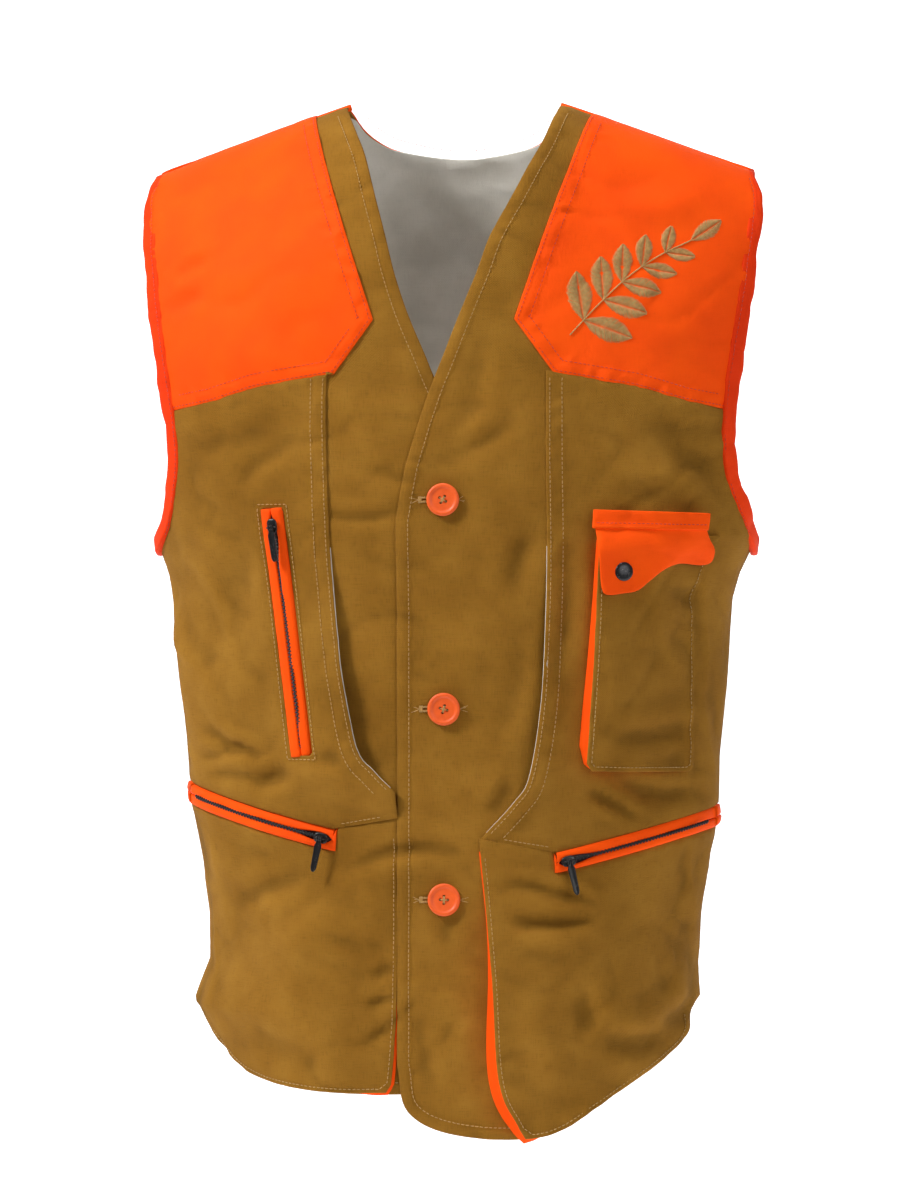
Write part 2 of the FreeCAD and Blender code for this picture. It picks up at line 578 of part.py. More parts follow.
def build_chest_zip():
    """Slanted chest zip with two orange welts, straight teeth, slider and hanging pull."""
    welts = chest_slot(ZIP_BAND / 2).cut(chest_slot(ZIP_SLOT / 2))
    save("chest_zip_welts", layer(welts, OVER_IN, WELT_OUT))
    top, low, along, across, outward = chest_line()
    run = (low - top).Length
    save("chest_zip_teeth", straight_block(top, along, across, outward, (1, run - 1),
                                           (-COIL_WIDTH / 2, COIL_WIDTH / 2), (-COIL_THICK / 2, COIL_THICK / 2)))
    half, high = SLIDER_WIDTH / 2, SLIDER_CLEAR + SLIDER_PLATE
    span = (SLIDER_START, SLIDER_START + SLIDER_LENGTH)
    plate = straight_block(top, along, across, outward, span, (-half, half), (SLIDER_CLEAR, high))
    keel = straight_block(top, along, across, outward, span, (-KEEL_HALF, KEEL_HALF),
                          (COIL_THICK / 2 + GAP, SLIDER_CLEAR))
    eye = top + along * (SLIDER_START + SLIDER_LENGTH * 0.6) + outward * (high + EYE_LIFT)
    save("chest_slider", plate.fuse(keel).fuse(bail(eye, along, outward, EYE_LIFT + 0.2)))
    save("chest_pull", pull_tab(eye, along, outward))
    print("JOINT chest_slider axis", tuple(along), "run", run)
    print("JOINT chest_pull eye", tuple(eye), "axis", tuple(across))


# ---------------------------------------------------------------- chest pocket with its snap flap
def build_chest_pocket():
    """Bellows pocket on the left front: front, orange gusset, flap with its fixed band, snap."""
    front = prism(polygon(CHEST_POCKET))
    save("chest_pocket_front", layer(front, OVER_OUT + GAP, OVER_OUT + GAP + CLOTH, chest_bulge))
    (x0, z0), (x1, z1), (x2, z2), (x3, z3) = CHEST_POCKET
    wall = GUSSET_WALL
    gusset = prism(polygon([(x0 + 1, z0 - 1), (x1 + 1, z1 + 1), (x2 - 1, z2 + 1), (x3 - 1, z3 - 1),
                            (x3 - 1 - wall, z3 - 1), (x2 - 1 - wall, z2 + 1 + wall), (x1 + 1 + wall, z1 + 1 + wall),
                            (x0 + 1 + wall, z0 - 1)]))
    save("chest_pocket_gusset", biggest(layer(gusset, OVER_OUT + GAP, OVER_OUT, chest_bulge,
                                              inner_bulge=left_mouth)))
    flap_in, flap_out = OVER_OUT + FLAP_LIFT, OVER_OUT + FLAP_LIFT + CLOTH
    band = prism(polygon([(98, -283), (176, -285), (176.5, -294.5), (98, -293)]))
    save("flap_band", biggest(layer(band, OVER_OUT + GAP, flap_out, chest_bulge, inner_bulge=left_mouth)))
    flap_runs = [[(98, -296), (176, -296)], FLAP_EDGE]
    save("chest_flap", biggest(layer(prism(flap_runs), flap_in, flap_out, chest_bulge)))

    normal = hit_normal(SNAP_X, SNAP_Z, flap_out, chest_bulge)
    seat = hit(SNAP_X, SNAP_Z, OVER_OUT + GAP + CLOTH, chest_bulge)
    inner_high = (hit(SNAP_X, SNAP_Z, flap_in, chest_bulge) - seat).dot(normal)
    outer_high = (hit(SNAP_X, SNAP_Z, flap_out, chest_bulge) - seat).dot(normal)
    cap_foot = seat + normal * (outer_high + SNAP_CLEAR)
    cap = Part.makeCylinder(SNAP_RADIUS, 0.7, cap_foot, normal)
    dome = Part.makeCone(SNAP_RADIUS, SNAP_RADIUS * 0.55, 1.1, cap_foot + normal * 0.7, normal)
    save("snap_cap", cap.fuse(dome))
    socket_foot = seat + normal * (inner_high - SNAP_CLEAR)
    ring = Part.makeCylinder(5.0, 1.0, socket_foot, normal.negative())
    save("snap_socket", ring.cut(Part.makeCylinder(2.7, 3, socket_foot + normal, normal.negative())))
    stud_foot = seat + normal * SNAP_CLEAR
    flange = Part.makeCylinder(4.5, 0.4, stud_foot, normal)
    save("snap_stud", flange.fuse(Part.makeCylinder(2.1, 1.3, stud_foot, normal)))
    print("SNAP room", inner_high, outer_high, "seat", tuple(seat), "normal", tuple(normal))

    ends = [surface_point(x, -295, 0, chest_bulge) for x in (98, 176)]
    direction = (ends[1] - ends[0]).normalize()
    away = direction.cross(V(0, 0, 1)).normalize()
    middle = surface_point(137, -295, flap_out, chest_bulge)
    reach = (middle - ends[0]).dot(away) + 1.0
    pivot = ends[0] + away * reach
    print("JOINT chest_flap pos", tuple(pivot), "axis", tuple(direction))


# ---------------------------------------------------------------- buttons
def build_buttons():
    """Four-hole buttons on thread shanks, sewn to the right front."""
    for number, z in enumerate(BUTTON_Z, 1):
        foot = surface_point(0, z, 0)
        under = foot.y - (PLACKET_LIFT + BASE_OUT + 1.2)
        axis = V(0, -1, 0)
        disc = Part.makeCylinder(BUTTON_RADIUS, BUTTON_THICK, V(0, under, z), axis)
        rims = [edge for edge in disc.Edges if edge.Curve.TypeId == "Part::GeomCircle"]
        disc = disc.makeFillet(1.0, rims)
        dish = Part.makeCone(5.2, 7.2, 1.1, V(0, under - BUTTON_THICK + 1.0, z), axis)
        disc = disc.cut(dish)
        for dx in (-1, 1):
            for dz in (-1, 1):
                disc = disc.cut(Part.makeCylinder(1.0, 20, V(dx * 1.9, under + 8, z + dz * 1.9), axis))
        save("button_%d" % number, disc)
        start = foot.y - BASE_OUT - 0.1
        shank = Part.makeCylinder(SHANK_RADIUS, start - under - 0.1, V(0, start, z), axis)
        save("button_thread_%d" % number, shank)


def main():
    build_back()
    for side, tag in ((1, "l"), (-1, "r")):
        build_shoulder(side, tag)
        build_bindings(side, tag)
    build_left_base()
    build_right_base()
    build_overlay(1, "l", LEFT_MOUTH, LEFT_OVER_EDGE, LEFT_POCKET_EDGE, LEFT_ZIP, LEFT_HEM)
    build_overlay(-1, "r", RIGHT_MOUTH, RIGHT_OVER_EDGE, RIGHT_POCKET_EDGE, RIGHT_ZIP, RIGHT_HEM)
    build_curved_zip(1, "l", LEFT_ZIP)
    build_curved_zip(-1, "r", RIGHT_ZIP)
    build_chest_zip()
    build_chest_pocket()
    build_buttons()
    high = V(half_width(ARMPIT_Z) + 3.6, 0, ARMPIT_Z)
    low = V(half_width(-600) + 3.6, 0, -600)
    print("JOINT left_front pos", tuple(high), "axis", tuple((high - low).normalize()))


main()
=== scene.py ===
import math

import bpy
import numpy as np
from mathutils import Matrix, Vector, geometry


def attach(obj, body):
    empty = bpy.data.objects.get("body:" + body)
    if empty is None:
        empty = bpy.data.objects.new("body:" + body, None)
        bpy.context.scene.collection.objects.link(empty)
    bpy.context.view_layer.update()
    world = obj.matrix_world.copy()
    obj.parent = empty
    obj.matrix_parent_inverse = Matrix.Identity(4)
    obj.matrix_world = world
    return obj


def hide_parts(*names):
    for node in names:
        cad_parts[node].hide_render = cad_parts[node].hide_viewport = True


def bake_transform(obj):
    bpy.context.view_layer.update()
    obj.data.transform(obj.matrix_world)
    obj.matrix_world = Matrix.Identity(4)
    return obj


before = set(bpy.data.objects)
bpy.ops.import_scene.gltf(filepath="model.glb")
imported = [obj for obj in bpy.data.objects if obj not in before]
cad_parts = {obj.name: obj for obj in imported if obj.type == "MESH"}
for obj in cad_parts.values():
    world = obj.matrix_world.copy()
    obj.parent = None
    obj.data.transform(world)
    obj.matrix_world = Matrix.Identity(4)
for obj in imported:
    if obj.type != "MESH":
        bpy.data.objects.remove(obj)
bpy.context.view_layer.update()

MM = 0.001

# Cloth and fittings of a sleeveless hunting vest. Shapes are worked out in millimetres on the
# same torso surface as the CAD layers: x to the wearer's left, z up, the front towards -y.

# ---------------------------------------------------------------- torso surface
ARMPIT_Z, ARMPIT_HALF_WIDTH, SIDE_TAPER = -300.0, 206.0, 0.118
CHEST_DEPTH, BELLY_DEPTH, BACK_DEPTH = 118.0, 108.0, 116.0
SECTION_POWER, FALL_POWER = 2.25, 2.2
SHOULDER_RISE, SHOULDER_SLOPE, SHOULDER_ROUND, SHOULDER_FALL = 31.0, 0.38, 40.0, 200.0
CLOTH, GAP = 1.2, 0.3
FORWARD = np.array([0, -1.0, 0])
LINING = (-2.9, -1.9)
BASE = (0.0, CLOTH)
OVER = (CLOTH + GAP, 2 * CLOTH + GAP)
PLACKET_LIFT, LIFT_FROM, LIFT_TO = 2.7, 45.0, 105.0
LOWER_BULGE, LOWER_BULGE_TOP, LOWER_BULGE_FULL = 13.0, -520.0, -590.0
CHEST_BULGE, CHEST_BULGE_TOP, CHEST_BULGE_FULL = 13.0, -286.0, -312.0
MOUTH_BULGE = 9.5
CHART_ROUND = 158.0          # radius that unrolls the side-to-side curve of the torso
CHART_FALL = 255.0           # unrolled height of the shoulder's curve


def smooth(value):
    value = np.clip(value, 0.0, 1.0)
    return value * value * (3 - 2 * value)


def unit(vectors):
    """Vectors at length one along the last axis."""
    return vectors / np.maximum(1e-9, np.linalg.norm(vectors, axis=-1, keepdims=True))


def half_width(z):
    above = np.maximum(0.0, z - ARMPIT_Z)
    return ARMPIT_HALF_WIDTH + SIDE_TAPER * (z - ARMPIT_Z) + 0.0003 * above ** 2


def shoulder_line(x):
    return SHOULDER_RISE - SHOULDER_SLOPE * np.hypot(x, SHOULDER_ROUND)


def section_depth(z, back):
    if back:
        return BACK_DEPTH - 14 * smooth((-330 - z) / 150) + 8 * smooth((-520 - z) / 150)
    return CHEST_DEPTH - (CHEST_DEPTH - BELLY_DEPTH) * smooth((-230 - z) / 250)


def flat_form(x, z):
    return 0.0 * x


def placket_lift(x, z):
    return PLACKET_LIFT * (1 - smooth((x - LIFT_FROM) / (LIFT_TO - LIFT_FROM)))


def lower_bulge(x, z):
    down = smooth((LOWER_BULGE_TOP - z) / (LOWER_BULGE_TOP - LOWER_BULGE_FULL))
    return LOWER_BULGE * down * (1 - smooth((np.abs(x) - 95) / 70))


def right_lower(x, z):
    return lower_bulge(x, z) * (0.12 + 0.88 * smooth((-x - 38) / 42))


def left_lower(x, z):
    return placket_lift(x, z) + lower_bulge(x, z)


def mouth_bulge(x, z):
    tall = smooth((-300 - z) / 90) * smooth((z + 506) / 50)
    return MOUTH_BULGE * tall * (1 - smooth((np.abs(x) - 62) / 60))


def left_mouth(x, z):
    return placket_lift(x, z) + mouth_bulge(x, z)


def chest_bulge(x, z):
    down = smooth((CHEST_BULGE_TOP - z) / (CHEST_BULGE_TOP - CHEST_BULGE_FULL))
    return placket_lift(x, z) + CHEST_BULGE * down * (1 - 0.8 * smooth((x - 112) / 66))


# ---------------------------------------------------------------- folds of the worn cloth
class Lattice:
    """Smooth seeded noise on a two-dimensional lattice."""

    def __init__(self, seed, size=64):
        self.values = np.random.default_rng(seed).uniform(-1, 1, (size, size))
        self.size = size

    def __call__(self, u, v):
        iu, iv = np.floor(u).astype(int), np.floor(v).astype(int)
        fu, fv = smooth(u - iu), smooth(v - iv)
        a, b = iu % self.size, iv % self.size
        a1, b1 = (a + 1) % self.size, (b + 1) % self.size
        low = self.values[a, b] * (1 - fu) + self.values[a1, b] * fu
        high = self.values[a, b1] * (1 - fu) + self.values[a1, b1] * fu
        return low * (1 - fv) + high * fv


FOLD_GAIN = 1.5
# the relief that sets the painted crease shade: the radius it is measured over, and the height for its full
# strength
RELIEF_REACH, RELIEF_FULL = 8, 1.3
BROAD, MEDIUM, SMALL, FINE = Lattice(11), Lattice(23), Lattice(37), Lattice(41)

# listed creases: start x, z, end x, z, width, height (negative for a valley)
FRONT_CREASES = [
    (-66, -449, -110, -456, 7, -3.6), (-104, -454, -134, -477, 8, -3.6), (-76, -523, 20, -508, 7, -2.6),
    (36, -150, -6, -262, 11, -1.6), (2, -258, 48, -214, 8, -1.6), (-46, -250, -12, -262, 6, -1.4),
    (126, -226, 188, -264, 12, -3.4), (112, -246, 178, -282, 10, 1.8), (136, -214, 190, -232, 8, -2.0),
    (32, -536, 112, -547, 5.5, -2.8), (42, -552, 108, -562, 5.5, -2.6), (40, -572, 96, -570, 7, 1.4),
    (84, -606, 104, -636, 11, -3.2), (98, -632, 156, -641, 10, -3.6), (146, -640, 176, -618, 10, -3.0),
    (-143, -300, -150, -392, 17, -2.6), (-166, -330, -170, -410, 12, -1.6), (-172, -424, -124, -452, 6, -3.0),
    (-178, -446, -138, -440, 6, -2.2), (-176, -462, -120, -470, 6, -1.8), (-52, -592, -32, -583, 5, -1.6),
    (-54, -618, -32, -606, 5, -1.8), (-56, -642, -32, -634, 5, -1.4), (44, -346, 64, -292, 10, -2.2),
    (98, -428, 178, -434, 9, -2.4), (24, -488, 50, -462, 8, -1.8), (-6, -526, -2, -580, 7, -2.4),
    (-78, -283, -26, -282, 4.5, -1.8), (-156, -560, -92, -519, 9, -2.4), (-120, -580, -60, -556, 16, 2.2),
    (-150, -640, -70, -655, 12, -1.6), (160, -560, 176, -600, 12, -2.2), (60, -600, 76, -680, 14, 2.2),
    (14, -350, 8, -450, 14, 1.6), (50, -356, 34, -450, 10, -1.4), (90, -474, 140, -490, 6, -2.4),
    (110, -462, 178, -476, 8, -2.8), (96, -486, 120, -492, 5, 1.4), (-90, -238, -150, -262, 8, -1.4),
    (-112, -206, -182, -236, 10, 1.6), (108, -60, 170, -52, 12, -1.6), (110, -74, 176, -68, 12, 1.6),
    (-190, -118, -160, -110, 6, -1.6), (-192, -150, -164, -128, 7, -1.4), (12, -600, 4, -664, 12, 1.6),
    (-14, -610, -16, -680, 8, -1.4), (150, -330, 182, -350, 8, -1.8), (76, -300, 84, -420, 9, -1.6),
]
# what keeps the cloth flat: the zips, the snap and the buttons, as short lines
STIFF = [(-116, -286, -97, -444), (78, -519, 127, -507), (127, -507, 176, -494), (-78, -504, -127, -492),
         (-127, -492, -176, -478), (119, -324, 119, -325), (0, -275, 0, -277), (0, -415, 0, -417),
         (0, -543, 0, -545)]
BACK_CREASES = [
    (-60, -120, 70, -112, 16, 1.6), (184, -250, 96, -216, 15, -2.8), (-184, -250, -96, -220, 15, -2.8),
    (180, -284, 90, -262, 14, 2.4), (-180, -286, -92, -258, 14, 2.4), (-120, -420, 110, -432, 15, -2.2),
    (-150, -400, 20, -392, 13, 1.8), (-20, -470, 150, -452, 15, 2.0), (-150, -500, -60, -470, 14, 1.6),
    (-90, -540, -70, -650, 20, 2.6), (-20, -530, -24, -650, 22, -2.4), (60, -540, 52, -650, 20, 2.4),
    (120, -530, 116, -640, 20, -2.2), (-130, -530, -132, -630, 18, -2.2),
]


def crease_field(x, z, creases):
    total = 0.0 * x
    for x0, z0, x1, z1, width, height in creases:
        dx, dz = x1 - x0, z1 - z0
        length = math.hypot(dx, dz)
        along = ((x - x0) * dx + (z - z0) * dz) / length
        off = ((x - x0) * dz - (z - z0) * dx) / length
        off = off + 5.0 * np.sin(along * 0.045 + x0)
        ends = smooth(along / (0.45 * length) + 0.1) * smooth((length - along) / (0.45 * length) + 0.1)
        off = off / (0.85 * width)
        shape = np.exp(-off ** 2) - 0.4 * np.exp(-(off + 1.6) ** 2) - 0.25 * np.exp(-(off - 1.7) ** 2)
        total += FOLD_GAIN * height * ends * shape
    return total


# how far the side seams swing in (positive) below the armholes: heights below the neck, then distances
LEFT_SIDE = ((299, 324, 345, 400, 440, 478, 520, 560, 592, 622, 652), (0, 6, 8, 5, 5, 3, 6, 7, 3, -12, -2))
RIGHT_SIDE = ((299, 324, 342, 400, 450, 490, 520, 560, 592, 622, 652), (0, 9, 12, 9, 8, 4, 6, 8, 6, 1, 0))


def calm(x, z):
    """Share of the folds that is left beside the zips, the snap and the buttons."""
    nearest = 1e9
    for x0, z0, x1, z1 in STIFF:
        dx, dz = x1 - x0, z1 - z0
        along = np.clip(((x - x0) * dx + (z - z0) * dz) / (dx * dx + dz * dz), 0, 1)
        nearest = np.minimum(nearest, np.hypot(x - x0 - along * dx, z - z0 - along * dz))
    return 0.12 + 0.88 * smooth((nearest - 7) / 22)


def folds(x, z, back):
    """Height of the cloth's folds above the torso surface."""
    u = CHART_ROUND * np.arcsin(np.clip(x / half_width(z), -1, 1)) + (900 if back else 0)
    lean = u + 0.35 * z
    busy = 0.5 + 1.1 * smooth(0.5 + 0.7 * BROAD(u / 70 + 20.3, z / 80 + 1.7))
    height = 3.2 * BROAD(u / 88 + 3.1, z / 105 + 7.7)
    bend = z + 8 * BROAD(u / 55 + 5.1, z / 60 + 2.4)
    height += busy * (1.7 * MEDIUM(lean / 44, bend / 56 + 2.2) + 0.55 * SMALL(lean / 21, bend / 18))
    height += 0.2 * FINE(u / 6.1, z / 5.3)
    height += crease_field(x, z, BACK_CREASES if back else FRONT_CREASES)
    ridge = (1 - np.abs(MEDIUM(lean / 46 + 9.3, bend / 58 + 4.1))) ** 4
    slant = (1 - np.abs(SMALL((u - 0.8 * bend) / 38, (bend + 0.3 * u) / 27))) ** 4
    height += busy * (1.1 * ridge - 0.9 * slant)
    if not back:
        height = height * calm(x, z)
    edge = section_depth(z, back) * around(x, z)
    return height * smooth(edge / 34) * (0.35 + 0.65 * smooth((shoulder_line(x) - z) / 70))


def around(x, z, offset=0.0):
    share = np.clip(np.abs(x) / (half_width(z) + offset), 0, 1)
    return (1 - share ** SECTION_POWER) ** (1 / SECTION_POWER)


def depth(x, z, offset, form, back):
    side = around(x, z, offset)
    top = shoulder_line(x) + offset
    rise = np.clip((z - top + SHOULDER_FALL) / SHOULDER_FALL, 0, 1)
    fall = (1 - rise ** FALL_POWER) ** (1 / FALL_POWER)
    return (section_depth(z, back) + offset) * side * fall + form(x, z) * side


def place(x, z, offset=0.0, form=flat_form, back=False, settled=False):
    """Points of the folded surface at an offset; settled leaves the folds out."""
    x, z = np.asarray(x, float), np.asarray(z, float)
    offset = np.broadcast_to(np.asarray(offset, float), x.shape)
    wide = half_width(z)
    side_room = np.clip(np.abs(x) / wide, 0, 1)
    x_out = x * (1 + offset / wide * side_room)
    shift = np.where(x < 0, np.interp(-z, *LEFT_SIDE),
                     -np.interp(-z, *RIGHT_SIDE)) * smooth((side_room - 0.45) / 0.55)
    top = shoulder_line(x)
    z_out = z + offset * smooth((z - top + 60) / 60)
    y = depth(x_out, z_out, offset, form, back)
    points = np.stack([x_out + shift, y if back else -y, z_out], -1)
    if settled:
        return points
    return points + normals(x, z, back) * folds(x, z, back)[..., None]


def normals(x, z, back):
    """Outward normals of the plain torso surface, also right at its seams."""
    step = 1.5
    side = around(x, z)
    share = x / half_width(z)
    top = shoulder_line(x)
    rise = np.clip((z - top + SHOULDER_FALL) / SHOULDER_FALL, 0, 0.9995)
    fall = (1 - rise ** FALL_POWER) ** (1 / FALL_POWER)
    deep = section_depth(z, back)
    side = np.maximum(side, 0.03)
    slope_x = deep * fall * np.sign(share) * np.abs(share) ** (SECTION_POWER - 1)
    slope_x = slope_x / (half_width(z) * side ** (SECTION_POWER - 1))
    slope_z = deep * side * rise ** (FALL_POWER - 1) / (SHOULDER_FALL * fall ** (FALL_POWER - 1))
    slope_z += -(section_depth(z + step, back) - section_depth(z - step, back)) / (2 * step) * side * fall
    normal = np.stack([slope_x + 0 * z, np.full(np.shape(x), 1.0 if back else -1.0), slope_z], -1)
    return unit(normal)


# ---------------------------------------------------------------- unrolled chart
def to_chart(x, z):
    u = CHART_ROUND * np.arcsin(np.clip(x / half_width(z), -1, 1))
    top = shoulder_line(x)
    rise = np.clip((z - top + SHOULDER_FALL) / SHOULDER_FALL, 0, 1)
    v = np.where(rise > 0, top - SHOULDER_FALL + CHART_FALL * 2 / math.pi * np.arcsin(rise ** 1.1), z)
    return u, v


def from_chart(u, v):
    x = ARMPIT_HALF_WIDTH * np.sin(u / CHART_ROUND)
    for _ in range(14):
        top = shoulder_line(x)
        above = np.clip((v - top + SHOULDER_FALL) / (CHART_FALL * 2 / math.pi), 0, math.pi / 2)
        z = np.where(above > 0, top - SHOULDER_FALL + SHOULDER_FALL * np.sin(above) ** (1 / 1.1), v)
        x = half_width(z) * np.sin(u / CHART_ROUND)
    return x, z


# ---------------------------------------------------------------- lines in the plane
def dense(points, step):
    """A polyline with points at most one step apart."""
    points = np.asarray(points, float)
    made = [points[0]]
    for a, b in zip(points[:-1], points[1:]):
        count = max(1, int(math.ceil(np.linalg.norm(b - a) / step)))
        for k in range(1, count + 1):
            made.append(a + (b - a) * k / count)
    return np.array(made)


def curve(points, step=4.0):
    """A smooth line through the points."""
    points = np.asarray(points, float)
    if len(points) < 3:
        return dense(points, step)
    ends = np.vstack([2 * points[0] - points[1], points, 2 * points[-1] - points[-2]])
    made = []
    for i in range(1, len(ends) - 2):
        p0, p1, p2, p3 = ends[i - 1:i + 3]
        count = max(2, int(math.ceil(np.linalg.norm(p2 - p1) / step)))
        for k in range(count):
            t = k / count
            made.append(0.5 * (2 * p1 + (p2 - p0) * t + (2 * p0 - 5 * p1 + 4 * p2 - p3) * t * t
                               + (3 * p1 - 3 * p2 + p3 - p0) * t ** 3))
    made.append(points[-1])
    return np.array(made)


def joined(*runs):
    """One closed outline from several runs."""
    made = []
    for run in runs:
        for point in run:
            if not made or math.dist(made[-1], point) > 0.2:
                made.append(tuple(point))
    if math.dist(made[0], made[-1]) < 0.2:
        made.pop()
    return np.array(made)


def mirror(points):
    return [(-x, z) for x, z in points]


def sided(points, side):
    return list(points) if side > 0 else mirror(points)


def shifted(points, dx, dz=0.0):
    return [(x + dx, z + dz) for x, z in points]


def beside(points, distance):
    """A line parallel to another, to its left for a positive distance."""
    points = np.asarray(points, float)
    ahead = unit(np.gradient(points, axis=0))
    return points + distance * np.stack([-ahead[:, 1], ahead[:, 0]], 1)


def inside(points, polygon):
    x, y = points[:, 0], points[:, 1]
    result = np.zeros(len(points), bool)
    for (x0, y0), (x1, y1) in zip(polygon, np.roll(polygon, -1, axis=0)):
        crosses = (y0 > y) != (y1 > y)
        if y1 != y0:
            result ^= crosses & (x < (x1 - x0) * (y - y0) / (y1 - y0) + x0)
    return result


def distance_to(points, line, closed=False):
    """Distance of each point to a polyline."""
    line = np.asarray(line, float)
    ends = np.roll(line, -1, axis=0) if closed else line[1:]
    starts = line if closed else line[:-1]
    best = np.full(len(points), 1e9)
    for a, b in zip(starts, ends):
        d = b - a
        t = np.clip(((points - a) @ d) / max(1e-9, d @ d), 0, 1)
        best = np.minimum(best, np.linalg.norm(points - a - t[:, None] * d, axis=1))
    return best


class Nodes:
    """Short hand for building a node tree."""

    def __init__(self, name, slot):
        self.material = bpy.data.materials.new(name)
        self.material.use_nodes = True
        self.tree = self.material.node_tree
        self.shader = self.tree.nodes["Principled BSDF"]

    def add(self, kind, **settings):
        node = self.tree.nodes.new(kind)
        for key, value in settings.items():
            setattr(node, key, value)
        return node

    def link(self, out, into):
        self.tree.links.new(out, into)

    def set(self, **values):
        for name, value in values.items():
            self.shader.inputs[name.replace("_", " ")].default_value = value

    def math(self, operation, a, b=None):
        node = self.add("ShaderNodeMath", operation=operation)
        for index, value in enumerate((a, b)):
            if value is None:
                continue
            if isinstance(value, (int, float)):
                node.inputs[index].default_value = value
            else:
                self.link(value, node.inputs[index])
        return node.outputs[0]

    def noise(self, vector, scale, detail=2.0, stretch=None):
        node = self.add("ShaderNodeTexNoise")
        node.inputs["Scale"].default_value = scale
        node.inputs["Detail"].default_value = detail
        if stretch:
            mapping = self.add("ShaderNodeMapping")
            mapping.inputs["Scale"].default_value = stretch
            self.link(vector, mapping.inputs["Vector"])
            vector = mapping.outputs["Vector"]
        self.link(vector, node.inputs["Vector"])
        return node.outputs["Fac"]

    def ramp(self, factor, stops):
        node = self.add("ShaderNodeValToRGB")
        elements = node.color_ramp.elements
        while len(elements) < len(stops):
            elements.new(0.5)
        for element, (position, colour) in zip(elements, stops):
            element.position = position
            element.color = (*colour, 1)
        self.link(factor, node.inputs["Fac"])
        return node.outputs["Color"]

    def mix(self, factor, a, b, blend="MIX"):
        node = self.add("ShaderNodeMix", data_type="RGBA", blend_type=blend)
        if isinstance(factor, (int, float)):
            node.inputs["Factor"].default_value = factor
        else:
            self.link(factor, node.inputs["Factor"])
        self.link(a, node.inputs["A"])
        self.link(b, node.inputs["B"])
        return node.outputs["Result"]

    def bump(self, height, strength, distance, before=None):
        node = self.add("ShaderNodeBump")
        node.inputs["Strength"].default_value = strength
        node.inputs["Distance"].default_value = distance
        self.link(height, node.inputs["Height"])
        if before is not None:
            self.link(before, node.inputs["Normal"])
        return node.outputs["Normal"]


def weave_cloth(slot, dark, mid, light, thread_mm, bump, roughness=0.88, sheen=0.25, tint=(1, 1, 1),
                glow=None, contrast=0.35, crease_shade_depth=0.28):
    """Plain-woven cloth: crossing threads, uneven yarns, soft colour variation, painted shade that darkens
    the creases of the folds, and an optional glow that is painted light.
    """
    n = Nodes(slot + "_look", slot)
    uv = n.add("ShaderNodeUVMap", uv_map="UVMap").outputs["UV"]
    place_on = n.add("ShaderNodeTexCoord").outputs["Object"]
    split = n.add("ShaderNodeSeparateXYZ")
    n.link(uv, split.inputs[0])
    turns = math.pi / (thread_mm * MM)
    warp_wobble = n.math("MULTIPLY", n.noise(uv, 160, 2), 1.2)
    across = n.math("SINE", n.math("ADD", n.math("MULTIPLY", split.outputs["X"], turns), warp_wobble))
    along = n.math("SINE", n.math("ADD", n.math("MULTIPLY", split.outputs["Y"], turns), warp_wobble))
    over = n.math("MULTIPLY", across, along)
    yarn_x = n.noise(uv, 1500, 2, (0.08, 1.0, 1))
    yarn_y = n.noise(uv, 1500, 2, (1.0, 0.08, 1))
    yarns = n.math("ADD", yarn_x, yarn_y)
    height = n.math("ADD", n.math("MULTIPLY", over, 0.5), n.math("MULTIPLY", yarns, 0.9))
    broad = n.noise(place_on, 9, 4)
    cloud = n.noise(place_on, 34, 5)
    tone = n.math("ADD", n.math("MULTIPLY", broad, 0.55), n.math("MULTIPLY", cloud, 0.45))
    colour = n.ramp(tone, [(0.36, dark), (0.5, mid), (0.64, light)])
    fleck = n.ramp(n.math("MULTIPLY", yarns, 0.5), [(0.3, (1 - contrast,) * 3), (0.5, (1, 1, 1))])
    colour = n.mix(1.0, colour, fleck, "MULTIPLY")
    # painted shade: the colour darkens where the relief is low, most in the creases of the folds, least on
    # their ridges
    relief = n.add("ShaderNodeAttribute", attribute_name="relief").outputs["Fac"]
    wear_and_crease_shade = n.ramp(n.math("ADD", n.math("MULTIPLY", relief, 0.5), 0.5),
                  [(0.0, (1 - crease_shade_depth,) * 3), (0.5, (0.93,) * 3), (1.0, (1, 1, 1))])
    colour = n.mix(1.0, colour, wear_and_crease_shade, "MULTIPLY")
    n.link(colour, n.shader.inputs["Base Color"])
    shade = n.math("ADD", roughness - 0.05, n.math("MULTIPLY", cloud, 0.1))
    n.link(shade, n.shader.inputs["Roughness"])
    soft = n.bump(cloud, 0.25, 0.0016)
    n.link(n.bump(height, bump, 0.0004, soft), n.shader.inputs["Normal"])
    n.set(Sheen_Weight=sheen, Sheen_Roughness=0.45, Sheen_Tint=(*tint, 1), Specular_IOR_Level=0.10)
    # painted light: the glow is emission, which keeps the cloth bright on its shaded sides too
    if glow:
        n.set(Emission_Color=(*glow[:3], 1), Emission_Strength=glow[3])
    return n.material


def thread_material(name, slot, colour, light):
    n = Nodes(name, slot)
    where = n.add("ShaderNodeTexCoord").outputs["Object"]
    tone = n.noise(where, 420, 3)
    n.link(n.ramp(tone, [(0.35, colour), (0.65, light)]), n.shader.inputs["Base Color"])
    n.link(n.bump(n.noise(where, 3000, 2), 0.6, 0.0002), n.shader.inputs["Normal"])
    n.set(Roughness=0.7, Sheen_Weight=0.2)
    return n.material


